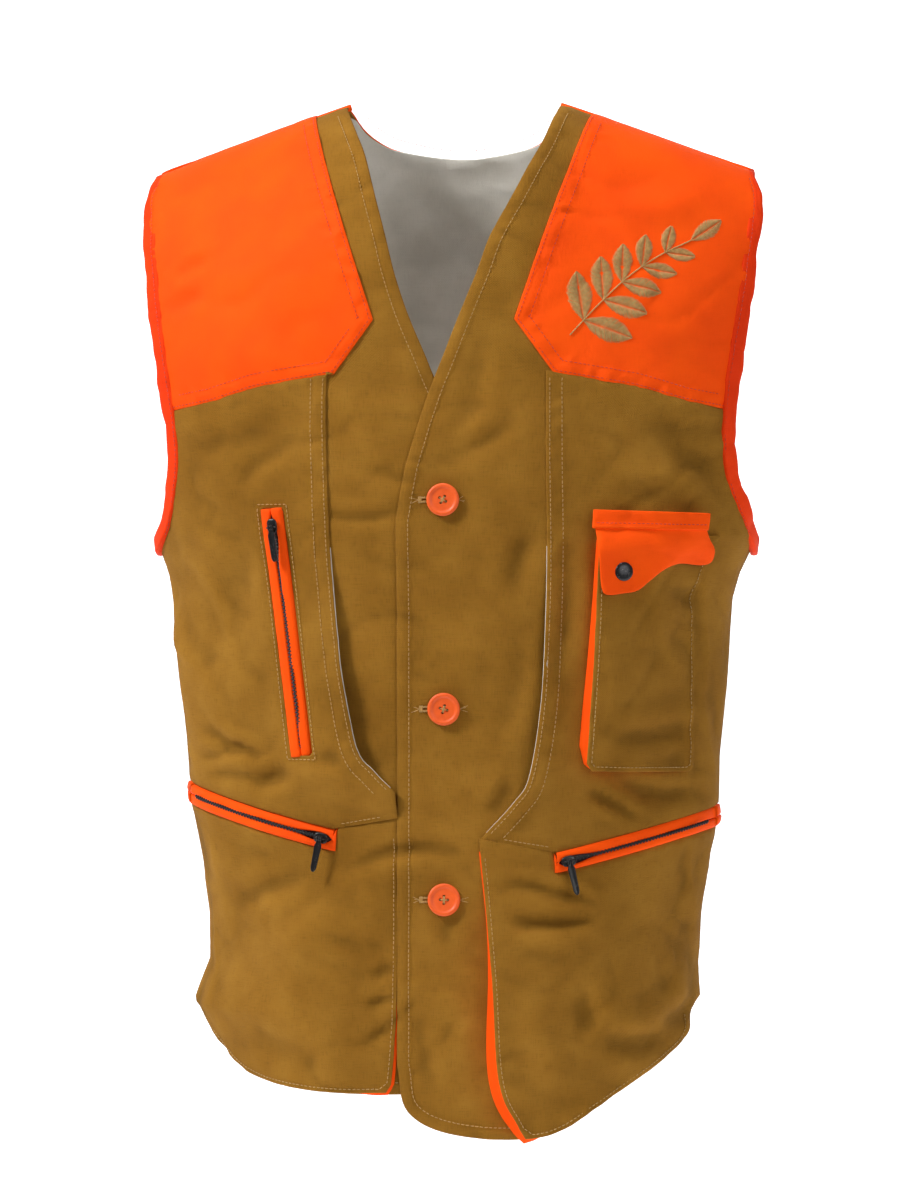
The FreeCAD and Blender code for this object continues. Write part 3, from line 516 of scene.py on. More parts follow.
def hard_material(slot, colour, light, roughness, metal=0.0, coat=0.0, wear=None):
    """Moulded or enamelled surface with faint mottling, fine scratches and optional rubbed spots."""
    n = Nodes(slot + "_look", slot)
    where = n.add("ShaderNodeTexCoord").outputs["Object"]
    cloud = n.noise(where, 300, 4)
    shade = n.ramp(cloud, [(0.3, colour), (0.7, light)])
    if wear:
        wear_and_crease_shade = n.ramp(n.noise(where, 900, 5), [(0.62, (0, 0, 0)), (0.74, wear)])
        shade = n.mix(1.0, shade, wear_and_crease_shade, "LIGHTEN")
    n.link(shade, n.shader.inputs["Base Color"])
    scratches = n.noise(where, 1400, 3, (1, 1, 0.08))
    n.link(n.math("ADD", roughness - 0.08, n.math("MULTIPLY", scratches, 0.16)), n.shader.inputs["Roughness"])
    n.link(n.bump(scratches, 0.08, 0.0002), n.shader.inputs["Normal"])
    n.set(Metallic=metal, Coat_Weight=coat, Coat_Roughness=0.25)
    return n.material


CANVAS = weave_cloth("tan_canvas", (0.262, 0.115, 0.0115), (0.315, 0.143, 0.016), (0.370, 0.174, 0.022),
                     0.62, 0.8, 0.92, 0.04, (0.9, 0.6, 0.3), None, 0.24)
# the orange cloth and the binding carry a glow, painted light from emission
ORANGE = weave_cloth("orange_cloth", (0.88, 0.068, 0.001), (0.94, 0.080, 0.001), (0.98, 0.092, 0.001),
                     0.45, 0.35, 0.72, 0.03, (1.0, 0.4, 0.2), (1.0, 0.080, 0.0, 0.12), 0.06, 0.12)
BINDING = weave_cloth("orange_binding", (0.74, 0.034, 0.002), (0.83, 0.045, 0.003), (0.90, 0.057, 0.004),
                      0.5, 0.45, 0.75, 0.03, (1.0, 0.35, 0.2), (1.0, 0.045, 0.0, 0.08), 0.1, 0.2)
WHITE = weave_cloth("white_lining", (0.60, 0.57, 0.50), (0.70, 0.67, 0.60), (0.78, 0.75, 0.69), 0.5, 0.5,
                    0.9, 0.1, (1, 1, 1), None, 0.08)
TAN_THREAD = thread_material("sewing_thread", "tan_thread", (0.40, 0.22, 0.05), (0.55, 0.33, 0.10))
RED_THREAD = thread_material("red_thread", "orange_binding", (0.42, 0.018, 0.002), (0.58, 0.035, 0.004))
BUTTON = hard_material("orange_button", (0.78, 0.088, 0.003), (0.86, 0.108, 0.005), 0.5, 0.0, 0.04)
GUNMETAL = hard_material("dark_metal", (0.012, 0.012, 0.014), (0.028, 0.028, 0.031), 0.30, 0.55, 0.1,
                         (0.20, 0.19, 0.18))
ENAMEL = hard_material("black_metal", (0.004, 0.004, 0.005), (0.010, 0.010, 0.011), 0.34, 0.2, 0.1,
                       (0.12, 0.115, 0.11))
COIL = hard_material("black_coil", (0.003, 0.003, 0.004), (0.008, 0.008, 0.009), 0.5)


# ---------------------------------------------------------------- mesh makers
def make_object(name, points, faces, material, uv=None):
    """An object in metres from points in millimetres, with a metric UV map."""
    mesh = bpy.data.meshes.new(name)
    mesh.from_pydata((np.asarray(points) * MM).tolist(), [], faces)
    mesh.validate()
    if uv is not None:
        layer = mesh.uv_layers.new(name="UVMap")
        corner = np.empty(len(mesh.loops), np.int32)
        mesh.loops.foreach_get("vertex_index", corner)
        layer.data.foreach_set("uv", (np.asarray(uv)[corner] * MM).ravel())
    mesh.polygons.foreach_set("use_smooth", [True] * len(mesh.polygons))
    mesh.materials.append(material)
    thing = bpy.data.objects.new(name, mesh)
    bpy.context.scene.collection.objects.link(thing)
    return thing


def triangulate(outline, lines, spacing, holes=()):
    """Triangles inside an outline, with the lines as edges and evenly spaced points between."""
    low, high = outline.min(0), outline.max(0)
    rows = []
    row_gap = spacing * 0.866
    for k, v in enumerate(np.arange(low[1] + row_gap * 0.5, high[1], row_gap)):
        us = np.arange(low[0] + spacing * (0.5 if k % 2 else 0.0), high[0], spacing)
        rows.append(np.stack([us, np.full(len(us), v)], 1))
    grid = np.vstack(rows)
    grid = grid[inside(grid, outline)]
    keep = distance_to(grid, outline, True) > spacing * 0.55
    for line in lines:
        keep &= distance_to(grid, line) > spacing * 0.4
    for hole in holes:
        keep &= ~inside(grid, hole) & (distance_to(grid, hole, True) > spacing * 0.4)
    grid = grid[keep]
    points = [outline]
    edges = [(i, (i + 1) % len(outline)) for i in range(len(outline))]
    start = len(outline)
    for hole in holes:
        points.append(hole)
        edges += [(start + i, start + (i + 1) % len(hole)) for i in range(len(hole))]
        start += len(hole)
    for line in lines:
        points.append(line)
        edges += [(start + i, start + i + 1) for i in range(len(line) - 1)]
        start += len(line)
    points.append(grid)
    flat = [Vector(p) for p in np.vstack(points)]
    made = geometry.delaunay_2d_cdt(flat, edges, [], 1, 1e-4)
    places = np.array([tuple(p) for p in made[0]])
    faces = np.array([f for f in made[2] if len(f) == 3])
    middle = places[faces].mean(1)
    keep = inside(middle, outline)
    for hole in holes:
        keep &= ~inside(middle, hole)
    return places, faces[keep]


def rim_loops(faces):
    """Directed edges that only one triangle uses."""
    edges = {}
    for a, b, c in faces.tolist():
        for pair in ((a, b), (b, c), (c, a)):
            edges[pair] = True
    return [pair for pair in edges if (pair[1], pair[0]) not in edges]


def closed_sheet(name, inner, outer, faces, uv, material):
    """A closed sheet with a rounded rim between two layers of points."""
    count = len(inner)
    rim = rim_loops(faces)
    used = sorted({i for pair in rim for i in pair})
    number = {vertex: 2 * count + k for k, vertex in enumerate(used)}
    outward = {vertex: np.zeros(3) for vertex in used}
    for a, b in rim:
        along = outer[b] - outer[a]
        up = outer[a] - inner[a]
        side = unit(np.cross(along, up))
        outward[a] += side
        outward[b] += side
    ring = []
    for vertex in used:
        push = unit(outward[vertex])
        thick = np.linalg.norm(outer[vertex] - inner[vertex])
        ring.append((outer[vertex] + inner[vertex]) / 2 + push * thick * 0.45)
    points = np.vstack([inner, outer, np.array(ring)])
    quads = []
    for a, b in rim:
        quads.append((count + b, count + a, number[a], number[b]))
        quads.append((number[b], number[a], a, b))
    tops = [tuple(count + i for i in face) for face in faces.tolist()]
    bottoms = [tuple(face[::-1]) for face in faces.tolist()]
    uvs = np.vstack([uv, uv, uv[used]])
    return make_object(name, points, tops + bottoms + quads, material, uvs)


def mark_relief(thing, x, z, faces, back):
    """Stores how far each point stands above the cloth round it, for the painted shade that darkens the
    creases of the folds.
    """
    turns = np.linspace(0, 2 * math.pi, 7)[:-1]
    around_it = [folds(x + RELIEF_REACH * math.cos(k), z + RELIEF_REACH * math.sin(k), back) for k in turns]
    relief = np.clip((folds(x, z, back) - sum(around_it) / len(turns)) / RELIEF_FULL, -1, 1)
    used = sorted({i for pair in rim_loops(faces) for i in pair})
    mark = thing.data.attributes.new("relief", "FLOAT", "POINT")
    mark.data.foreach_set("value", np.concatenate([relief, relief, relief[used]]).astype(np.float32))


def cloth(name, outline, layer, material, form=flat_form, back=False, seams=(), holes=(), hem=0.0,
          spacing=4.2,
          pucker=0.5, ripple=0.0):
    """A piece of cloth on the torso, with grooved and puckered seams; hem is the width of a folded edge."""
    edge = dense(np.vstack([outline, outline[:1]]), spacing * 0.8)[:-1]
    chart = np.stack(to_chart(edge[:, 0], edge[:, 1]), 1)
    chart_holes = [np.stack(to_chart(np.asarray(h)[:, 0], np.asarray(h)[:, 1]), 1) for h in holes]
    chart_seams, guides = [], []
    for seam in seams:
        line = dense(seam, 3.2)
        line = np.stack(to_chart(line[:, 0], line[:, 1]), 1)
        chart_seams.append(line)
        for shift in (-1.7, 0.0, 1.7):
            guide = beside(line, shift)
            guide = guide[inside(guide, chart) & (distance_to(guide, chart, True) > 0.7)]
            if len(guide) > 2:
                gaps = np.linalg.norm(np.diff(guide, axis=0), axis=1)
                cuts = np.where(gaps > 6)[0] + 1
                guides += [part for part in np.split(guide, cuts) if len(part) > 2]
    flat, faces = triangulate(chart, guides, spacing, chart_holes)
    x, z = from_chart(flat[:, 0], flat[:, 1])
    extra = np.zeros(len(flat))
    for line in chart_seams:
        away = distance_to(flat, line)
        extra -= 0.5 * np.exp(-(away / 1.3) ** 2)
        ripples = SMALL(flat[:, 0] / 5.5, flat[:, 1] / 5.5) + 0.6 * FINE(flat[:, 0] / 3.1, flat[:, 1] / 3.1)
        extra += pucker * ripples * np.exp(-(away / 6.5) ** 2)
    border = distance_to(flat, chart, True)
    if hem:
        extra += 0.5 * (1 - smooth((border - hem + 1.5) / 1.5))
        extra -= 0.25 * np.exp(-(border / 1.2) ** 2)
    if ripple:
        wave = MEDIUM(flat[:, 0] / 11, flat[:, 1] / 11)
        extra += ripple * wave * np.exp(-(border / 14) ** 2)
    inner = place(x, z, layer[0] + extra, form, back)
    outer = place(x, z, layer[1] + extra, form, back)
    if back:
        faces = faces[:, ::-1]
    thing = closed_sheet(name, inner, outer, faces, flat, material)
    mark_relief(thing, x, z, faces, back)
    corner = (inner[faces] + outer[faces]) / 2
    sides = corner[:, 1] - corner[:, 0], corner[:, 2] - corner[:, 0]
    area = 0.5 * np.linalg.norm(np.cross(*sides), axis=1).sum()
    size = flat.max(0) - flat.min(0)
    thing["cut"] = [size[0] * MM, size[1] * MM, area * MM * MM]
    return thing


def declare_sheet(thing, held, rests_on, strip=None):
    """The cloth's cut size: its unrolled width, length and area; strip is the width of a curved strip."""
    width, length, area = thing["cut"]
    if strip:
        width, length = area / (strip * MM), strip * MM
    width, length = math.ceil(width * 1000) * MM, math.ceil(length * 1000) * MM
    area = min(area, width * length)
    del thing["cut"]


def declare_tape(thing, length, rests_on):
    """Converts a folded strip's length along the rail to metres; the result is not kept."""
    length = round(length * MM, 4)


def rail(points, offset=0.0, form=flat_form, back=False, step=3.0, settled=False):
    """Frames along a line on the torso: place, direction, normal, across and length so far."""
    line = dense(points, step)
    where = place(line[:, 0], line[:, 1], offset, form, back, settled)
    normal = normals(line[:, 0], line[:, 1], back)
    ahead = unit(np.gradient(where, axis=0))
    normal = unit(normal - (normal * ahead).sum(1, keepdims=True) * ahead)
    across = np.cross(normal, ahead)
    length = np.concatenate([[0], np.cumsum(np.linalg.norm(np.diff(where, axis=0), axis=1))])
    return where, ahead, normal, across, length


def sweep(name, frames, profile, material):
    """A closed profile of (across, normal) pairs carried along a rail; it may vary with the length."""
    where, ahead, normal, across, length = frames
    rings, uvs = [], []
    for k in range(len(where)):
        shape = np.asarray(profile(length[k], k))
        rings.append(where[k] + shape[:, :1] * across[k] + shape[:, 1:2] * normal[k])
        girth = np.concatenate([[0], np.cumsum(np.linalg.norm(np.diff(shape, axis=0), axis=1))])
        uvs.append(np.stack([girth, np.full(len(shape), length[k])], 1))
    sides = len(rings[0])
    faces = ring_faces(len(rings), sides, caps=False)
    points = np.vstack(rings)
    uvs = np.vstack(uvs)
    for end, turn in ((0, -1), (len(rings) - 1, 1)):
        centre = len(points)
        points = np.vstack([points, rings[end].mean(0) + turn * 0.2 * ahead[end]])
        uvs = np.vstack([uvs, uvs[end * sides]])
        for i in range(sides):
            pair = (end * sides + i, end * sides + (i + 1) % sides)
            faces.append((*pair[::turn], centre))
    return tidy_normals(make_object(name, points, faces, material, uvs))


def grid_sheet(name, grid, thickness, material):
    """A closed thin sheet from rows of points, thickened along its own normals."""
    grid = np.asarray(grid)
    rows, columns = grid.shape[:2]
    du, dv = np.gradient(grid, axis=0), np.gradient(grid, axis=1)
    normal = unit(np.cross(dv, du))
    outer = (grid + normal * thickness / 2).reshape(-1, 3)
    inner = (grid - normal * thickness / 2).reshape(-1, 3)
    length = np.linalg.norm(du, axis=2).cumsum(0)
    width = np.linalg.norm(dv, axis=2).cumsum(1)
    uv = np.stack([width, length], 2).reshape(-1, 2)
    faces = []
    for i in range(rows - 1):
        for j in range(columns - 1):
            a, b = i * columns + j, i * columns + j + 1
            c, d = a + columns, b + columns
            faces.append((a, b, d))
            faces.append((a, d, c))
    faces = np.array(faces)
    thing = tidy_normals(closed_sheet(name, inner, outer, faces, uv, material))
    area = (np.linalg.norm(np.cross(du, dv), axis=2)).sum()
    thing["cut"] = [float(width.max()) * MM, float(length.max()) * MM, float(area) * MM * MM]
    return thing


def solid(name, parts, material):
    """One object from several closed (points, faces) parts, with their faces turned outwards."""
    return tidy_normals(joined_shape(name, parts, material))


def joined_shape(name, parts, material):
    """One object from several (points, faces) parts."""
    points, faces, start = [], [], 0
    for part_points, part_faces in parts:
        points.append(part_points)
        faces += [tuple(start + i for i in face) for face in part_faces]
        start += len(part_points)
    return make_object(name, np.vstack(points), faces, material)


# rings of a stitch: share of its length, size and rise of the centre
STITCH_RINGS = [(0.0, 0.35, -0.3), (0.2, 0.9, 0.15), (0.5, 1.05, 0.35), (0.8, 0.9, 0.15), (1.0, 0.35, -0.3)]


def ring_faces(rings, sides, closed=False, caps=True):
    """Quads between neighbouring rings of points, with an end face at either end of an open run."""
    faces = []
    for k in range(rings if closed else rings - 1):
        low, high = k * sides, (k + 1) % rings * sides
        for i in range(sides):
            j = (i + 1) % sides
            faces.append((low + i, low + j, high + j, high + i))
    if caps and not closed:
        faces.append(tuple(range(sides))[::-1])
        faces.append(tuple(range((rings - 1) * sides, rings * sides)))
    return faces


def stitch_part(start, end, normal, radius):
    """One stitch: a short plump thread, sunk at both ends."""
    ahead = end - start
    across = unit(np.cross(normal, ahead))
    rings = []
    for share, size, rise in STITCH_RINGS:
        centre = start + ahead * share + normal * rise * radius * 2
        for turn in range(5):
            angle = turn * 2 * math.pi / 5
            rings.append(centre + radius * size * (math.cos(angle) * across + math.sin(angle) * normal))
    return np.array(rings), ring_faces(len(STITCH_RINGS), 5)


def stitches(frames, pitch=3.1, length=2.3, radius=0.3, rise=0.05):
    """Stitches along a rail, slightly uneven."""
    where, _, normal, across, run = frames
    rng = np.random.default_rng(int(abs(where[0].sum()) * 10) % 100000)
    parts = []
    at = 0.6
    while at + length < run[-1]:
        ends = []
        for s in (at, at + length * rng.uniform(0.88, 1.05)):
            ends.append(np.array([np.interp(s, run, where[:, i]) for i in range(3)]))
        k = min(len(run) - 1, int(np.searchsorted(run, at)))
        wobble = across[k] * rng.normal(0, 0.09)
        lift = normal[k] * rise
        parts.append(stitch_part(ends[0] + wobble + lift, ends[1] - wobble + lift, normal[k], radius))
        at += pitch * rng.uniform(0.94, 1.06)
    return parts


def tidy_normals(thing):
    """Turns every face of a closed piece outwards."""
    import bmesh
    mesh = bmesh.new()
    mesh.from_mesh(thing.data)
    bmesh.ops.recalc_face_normals(mesh, faces=mesh.faces)
    mesh.to_mesh(thing.data)
    mesh.free()
    return thing


def stack(sections, origin, axes, sides=28):
    """Closed shape from superellipse rings; each section is (height, half x, half y, power, shift x)."""
    x_axis, y_axis, z_axis = (np.asarray(a, float) for a in axes)
    rings = []
    for height, half_x, half_y, power, shift in sections:
        for k in range(sides):
            angle = 2 * math.pi * k / sides
            c, s = math.cos(angle), math.sin(angle)
            px = math.copysign(abs(c) ** (2 / power), c) * half_x + shift
            py = math.copysign(abs(s) ** (2 / power), s) * half_y
            rings.append(origin + px * x_axis + py * y_axis + height * z_axis)
    return np.array(rings), ring_faces(len(sections), sides)


def tube(path, radius, sides=10, closed=False):
    """Round bar along a path of points."""
    path = np.asarray(path, float)
    if closed:
        ahead = np.roll(path, -1, axis=0) - np.roll(path, 1, axis=0)
    else:
        ahead = np.gradient(path, axis=0)
    ahead = unit(ahead)
    rings = []
    side = unit(np.cross(ahead[0], [0.13, 0.31, 0.94]))
    for k, point in enumerate(path):
        side = unit(side - (side @ ahead[k]) * ahead[k])
        up = np.cross(ahead[k], side)
        for i in range(sides):
            angle = 2 * math.pi * i / sides
            rings.append(point + radius * (math.cos(angle) * side + math.sin(angle) * up))
    return np.array(rings), ring_faces(len(path), sides, closed)


FRONTS = {"l": "left_front", "r": "right_front"}


def enter(thing, body, nodes, sheet=None, tape=None):
    """Hides the CAD parts a piece stands in for, works out its cut size or tape length, and attaches it to
    its body or, for a front's tag, bakes its placement.
    """
    if nodes:
        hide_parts(*nodes)
    if sheet:
        declare_sheet(thing, *sheet)
    if tape:
        declare_tape(thing, *tape)
    if body in FRONTS:
        follow_front(thing)
    else:
        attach(thing, body)


def follow_front(thing):
    """Bakes the piece's placement into its mesh; the piece is left without a parent body."""
    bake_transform(thing)


THREADS = {"tan": TAN_THREAD, "red": RED_THREAD}
stitch_groups = {}


def stitch_row(group, thread, line, offset, form=flat_form, back=False, pitch=3.1, radius=0.3):
    frames = rail(line, offset, form, back, 2.5)
    stitch_groups.setdefault((group, thread), []).extend(stitches(frames, pitch, pitch * 0.74, radius))


# ---------------------------------------------------------------- outlines, (x, z), wearer's left
LEFT_NECK = [(75, -1.3), (67, -25), (60, -41), (46.8, -70), (32, -98), (22.2, -125), (11, -152), (0.4, -179),
             (-9, -203), (-18, -231), (-25.3, -257), (-31, -290)]
RIGHT_NECK = [(75, -1.3), (63.4, -26), (55.6, -45), (48.3, -70), (40.7, -97), (33.5, -125), (24.4, -152),
              (13, -179), (5, -198), (-10, -228), (-24, -257), (-31, -290)]
PATCH_LINE = [(96, -9), (48, -155), (74, -191), (127, -200), (158, -209), (190, -214)]
ARMHOLE = [(207, -49.1), (212, -75), (206, -130), (195, -200), (192, -250), (200, -285), (206, -300)]
BACK_ARMHOLE = [(207, -49.1), (207, -75), (197, -130), (189, -190), (187, -240), (196, -282), (206, -300)]
LEFT_HEM = [(-31, -655), (-24, -686), (8, -701), (66, -703), (102, -684), (130, -665), (158, -646),
            (168.4, -618)]
RIGHT_HEM = [(31, -672), (-49, -675), (-97, -673), (-135, -665), (-156, -648), (-168.4, -618)]
BACK_HEM = [(-168.4, -618), (-110, -652), (0, -668), (110, -652), (168.4, -618)]
LEFT_MOUTH = [(69, -330), (66, -406), (58, -460), (47, -479), (26, -502)]
RIGHT_MOUTH = [(-75, -330), (-69, -393), (-59, -442), (-47, -458), (-33, -472)]
LEFT_POCKET_EDGE = [(24, -504), (33, -592), (38, -665), (52, -697)]
RIGHT_POCKET_EDGE = [(-31.5, -490), (-31.5, -590), (-33.5, -640), (-36, -668)]
LEFT_ZIP = [(78, -519), (127, -507), (176, -494)]
RIGHT_ZIP = [(-78, -504), (-127, -492), (-176, -478)]
CHEST_ZIP = [(-116, -286), (-97, -444)]
FLAP_EDGE = [(167, -293.8), (168, -298), (171, -303), (175.5, -309), (176.5, -317), (171, -319), (156, -318),
             (146, -321.5), (137, -329), (129, -336), (119, -338), (109, -339), (104.5, -335),
             (102.5, -312), (99.5, -293.8)]
BUTTON_Z = (-276.0, -416.0, -544.0)
SNAP = (119.0, -324.0)
ZIP_LIFT = 4.0
SLOT_ABOVE, SLOT_BELOW = 7.8, 6.8            # cloth edges above and below a lower zip's middle
POCKET_HEM_Z = -616.5
MOUTH_LIP = [(-2.0, -1.2), (0.3, -1.2), (0.7, -0.9), (0.75, 0.0), (0.4, 0.3), (-2.0, 0.0)]
POCKET_LAYER = (OVER[1] + GAP, OVER[1] + GAP + CLOTH)
FLAP_LAYER = (OVER[1] + 4.2, OVER[1] + 4.2 + CLOTH)
# height and radius of the rings of the snap's cap and of its stud
DOME_RINGS = [(-0.1, 6.2), (0.35, 6.35), (0.8, 6.1), (1.3, 5.2), (1.7, 3.6), (1.9, 1.6)]
STUD_RINGS = [(0.1, 4.6), (0.55, 4.4), (0.65, 2.2), (1.1, 2.0), (1.5, 2.35), (1.9, 1.7)]
NECK_OUT, SHOULDER_OUT, EDGE_INSET, LINING_INSET, SIDE_HEM_Z = 75, 204, 3, 5, -618


def on_shoulder(x0, x1, step=4.0):
    xs = np.linspace(x0, x1, max(2, int(abs(x1 - x0) / step)))
    return [(x, float(shoulder_line(x))) for x in xs]


def side_seam(z0, z1, side, step=4.0):
    zs = np.linspace(z0, z1, max(2, int(abs(z1 - z0) / step)))
    return [(side * float(half_width(z)), z) for z in zs]


def slit(x, z, length=25.0, height=0.35):
    """Outline of a buttonhole."""
    half = length / 2
    return np.array([(x - half, z), (x - half + 1, z - height), (x, z - height * 1.3),
                     (x + half - 1, z - height),
                     (x + half, z), (x + half - 1, z + height), (x, z + height * 1.3),
                     (x - half + 1, z + height)])


def place_line(line, offset, form):
    """Points of the folded front along a line."""
    return place(line[:, 0], line[:, 1], offset, form)


def folded_strip(high, tuck, low, count):
    """Rows of points across a strip that bends from its high edge, by way of the tuck, to its low edge."""
    share = np.linspace(0, 1, count)
    return np.stack([(1 - t) ** 2 * high + 2 * t * (1 - t) * tuck + t * t * low for t in share], 1)


def spot_on(x, z, offset, form=placket_lift):
    """One point of the folded front."""
    return place(np.array([x]), np.array([z]), offset, form)[0]


def armhole(line, side, inset, edge):
    """An armhole moved in by an inset, from the shoulder at the given edge down to the side seam."""
    arm = curve(sided(shifted(line, -inset), side))
    arm[0] = (side * edge, float(shoulder_line(edge)))
    arm[-1] = (side * float(half_width(ARMPIT_Z)), ARMPIT_Z)
    return arm


def wound(outline, side):
    """The outline, turned round where it was mirrored."""
    return outline if side > 0 else outline[::-1]


# ---------------------------------------------------------------- canvas fronts, linings and facings
def build_front(side, tag, form, hem):
    arm = armhole(ARMHOLE, side, EDGE_INSET, SHOULDER_OUT)
    neck = curve(sided(LEFT_NECK if side > 0 else RIGHT_NECK, side))
    centre = dense([(-31 * side, -290), (hem[0][0], hem[0][1])], 4)
    hem_line = curve(hem)
    seam = side_seam(SIDE_HEM_Z, ARMPIT_Z, side)
    outline = joined(neck, centre, hem_line, seam, arm[::-1],
                     on_shoulder(SHOULDER_OUT * side, NECK_OUT * side))
    edge = joined(neck, centre, hem_line)
    rows = [beside(edge, 7.5 * side)[2:-3]]
    holes = [slit(-5, z) for z in BUTTON_Z] if side > 0 else []
    front = cloth("front_cloth_" + tag, wound(outline, side), BASE, CANVAS, form, seams=rows, holes=holes,
                  hem=7.0, ripple=0.5)
    enter(front, tag, ["shoulder_front_" + tag, "front_panel_" + tag], sheet=("hung", ["back_cloth"]))
    stitch_row(tag, "tan", rows[0], BASE[1] + 0.45, form)

    facing_edge = [(60, -120), (62, -180), (52, -230), (34, -300), (33, hem[0][1] + 4)]
    facing_edge = curve(sided(facing_edge, side))
    inner_neck = beside(neck, 1.5 * side)
    inner_neck = inner_neck[inner_neck[:, 1] < -118]
    low = hem[0][1] + 5
    facing = joined(inner_neck, [(-29.5 * side, -300), (-29.5 * side, low)], [(33 * side, low)],
                    facing_edge[::-1])
    facing_holes = [slit(-5, z) for z in BUTTON_Z] if side > 0 else []
    piece = cloth("facing_cloth_" + tag, wound(facing, side), LINING, CANVAS, form, holes=facing_holes,
                  spacing=6.0)
    enter(piece, tag, ["placket_facing_" + tag], sheet=("laid", ["front_cloth_" + tag]))

    arm_in = armhole(ARMHOLE, side, LINING_INSET, SHOULDER_OUT - 2)
    high_neck = beside(neck, 1.5 * side)
    high_neck = high_neck[high_neck[:, 1] > -116]
    lining_hem = [(x, z) for x, z in curve(shifted(hem, 0, 12)) if x * side > 36]
    outline = joined([(77 * side, float(shoulder_line(77)))], high_neck[1:],
                     facing_edge[1:-1] + [0.8 * side, 0],
                     lining_hem, side_seam(-604, ARMPIT_Z, side), arm_in[::-1],
                     on_shoulder(202 * side, 77 * side))
    piece = cloth("lining_cloth_" + tag, wound(outline, side), LINING, WHITE, form, spacing=6.5)
    enter(piece, tag, ["shoulder_lining_" + tag, "front_lining_" + tag],
          sheet=("hung", ["front_cloth_" + tag]))


# ---------------------------------------------------------------- shoulder patches
def build_patch(side, tag, form):
    line = dense(sided(PATCH_LINE, side), 3.5)
    arm = armhole(ARMHOLE, side, EDGE_INSET, SHOULDER_OUT)
    arm = arm[arm[:, 1] > -212]
    outline = joined([(97.5 * side, float(shoulder_line(97.5)))], line, arm[::-1],
                     on_shoulder(204 * side, 99 * side))
    near, far = beside(line, 1.6 * side)[1:-1], beside(line, 8.8 * side)[2:-3]
    patch = cloth("patch_cloth_" + tag, wound(outline, side), OVER, ORANGE, form, seams=[near, far],
                  hem=8.0, spacing=4.0, pucker=0.45)
    enter(patch, tag, ["shoulder_patch_" + tag], sheet=("laid", ["front_cloth_" + tag]))
    for row in (near, far):
        stitch_row(tag, "red", row, OVER[1] + 0.3, form, radius=0.24)


# ---------------------------------------------------------------- back
def build_back():
    arm = armhole(BACK_ARMHOLE, 1, EDGE_INSET, SHOULDER_OUT)
    neck = curve([(75, -1.3), (66, -14), (45, -24), (0, -30), (-45, -24), (-66, -14), (-75, -1.3)])
    hem = curve(BACK_HEM)
    outline = joined(neck, on_shoulder(-NECK_OUT, -SHOULDER_OUT), mirror(arm),
                     side_seam(ARMPIT_Z, SIDE_HEM_Z, -1), hem,
                     side_seam(SIDE_HEM_Z, ARMPIT_Z, 1), arm[::-1], on_shoulder(SHOULDER_OUT, NECK_OUT))
    hem_row = beside(hem, 7.5)[2:-2]
    back = cloth("back_cloth", outline, BASE, CANVAS, back=True, seams=[hem_row], hem=7.0, spacing=5.0,
                 ripple=0.5)
    enter(back, "torso", ["back_panel"], sheet=("hung", ["shoulder_front_l", "shoulder_front_r"]))
    stitch_row("torso", "tan", hem_row, BASE[1] + 0.45, back=True)

    arm_in = armhole(BACK_ARMHOLE, 1, LINING_INSET, SHOULDER_OUT - 2)
    lining_hem = curve(shifted(BACK_HEM, 0, 12))[1:-1]
    outline = joined(beside(neck, -1.5)[1:-1], on_shoulder(-77, -202), mirror(arm_in),
                     side_seam(ARMPIT_Z, -606, -1), lining_hem, side_seam(-606, ARMPIT_Z, 1), arm_in[::-1],
                     on_shoulder(202, 77))
    lining = cloth("back_lining_cloth", outline, LINING, WHITE, back=True, spacing=7.0)
    enter(lining, "torso", ["back_lining"], sheet=("hung", ["back_cloth"]))

    foot = curve([(-198, -141), (-100, -150), (0, -160), (100, -150), (198, -141)])
    yoke_arm = np.array([p for p in arm if p[1] > -140])
    outline = joined(neck, on_shoulder(-NECK_OUT, -SHOULDER_OUT), mirror(yoke_arm), foot, yoke_arm[::-1],
                     on_shoulder(SHOULDER_OUT, NECK_OUT))
    near, far = beside(foot, 1.6)[1:-1], beside(foot, 8.8)[1:-1]
    collar = beside(neck, -7.0)[2:-2]
    yoke = cloth("yoke_cloth", outline, OVER, ORANGE, back=True, seams=[near, far, collar], hem=8.0,
                 spacing=4.5)
    enter(yoke, "torso", ["back_yoke"], sheet=("laid", ["back_cloth"]))
    for row in (near, far, collar):
        stitch_row("torso", "red", row, OVER[1] + 0.3, back=True, radius=0.24)

    for side, tag in ((1, "l"), (-1, "r")):
        xs = np.linspace(73, 205, 34) * side
        where = np.stack([xs, np.full(34, 0.8), shoulder_line(xs) + 1.2], 1)
        rim = solid("shoulder_fold_" + tag, [tube(where, 2.3, 14)], ORANGE)
        declare_tape(rim, 140, ["yoke_cloth"])
        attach(rim, "torso")

    facing_low, facing_high = curve(BACK_HEM), curve(shifted(BACK_HEM, 0, 11))
    outline = joined(facing_low[1:-1], facing_high[::-1][1:-1])
    facing = cloth("hem_facing_cloth", outline, LINING, ORANGE, back=True, spacing=5.0)
    enter(facing, "torso", ["back_hem_facing"], sheet=("laid", ["back_cloth"], 11))


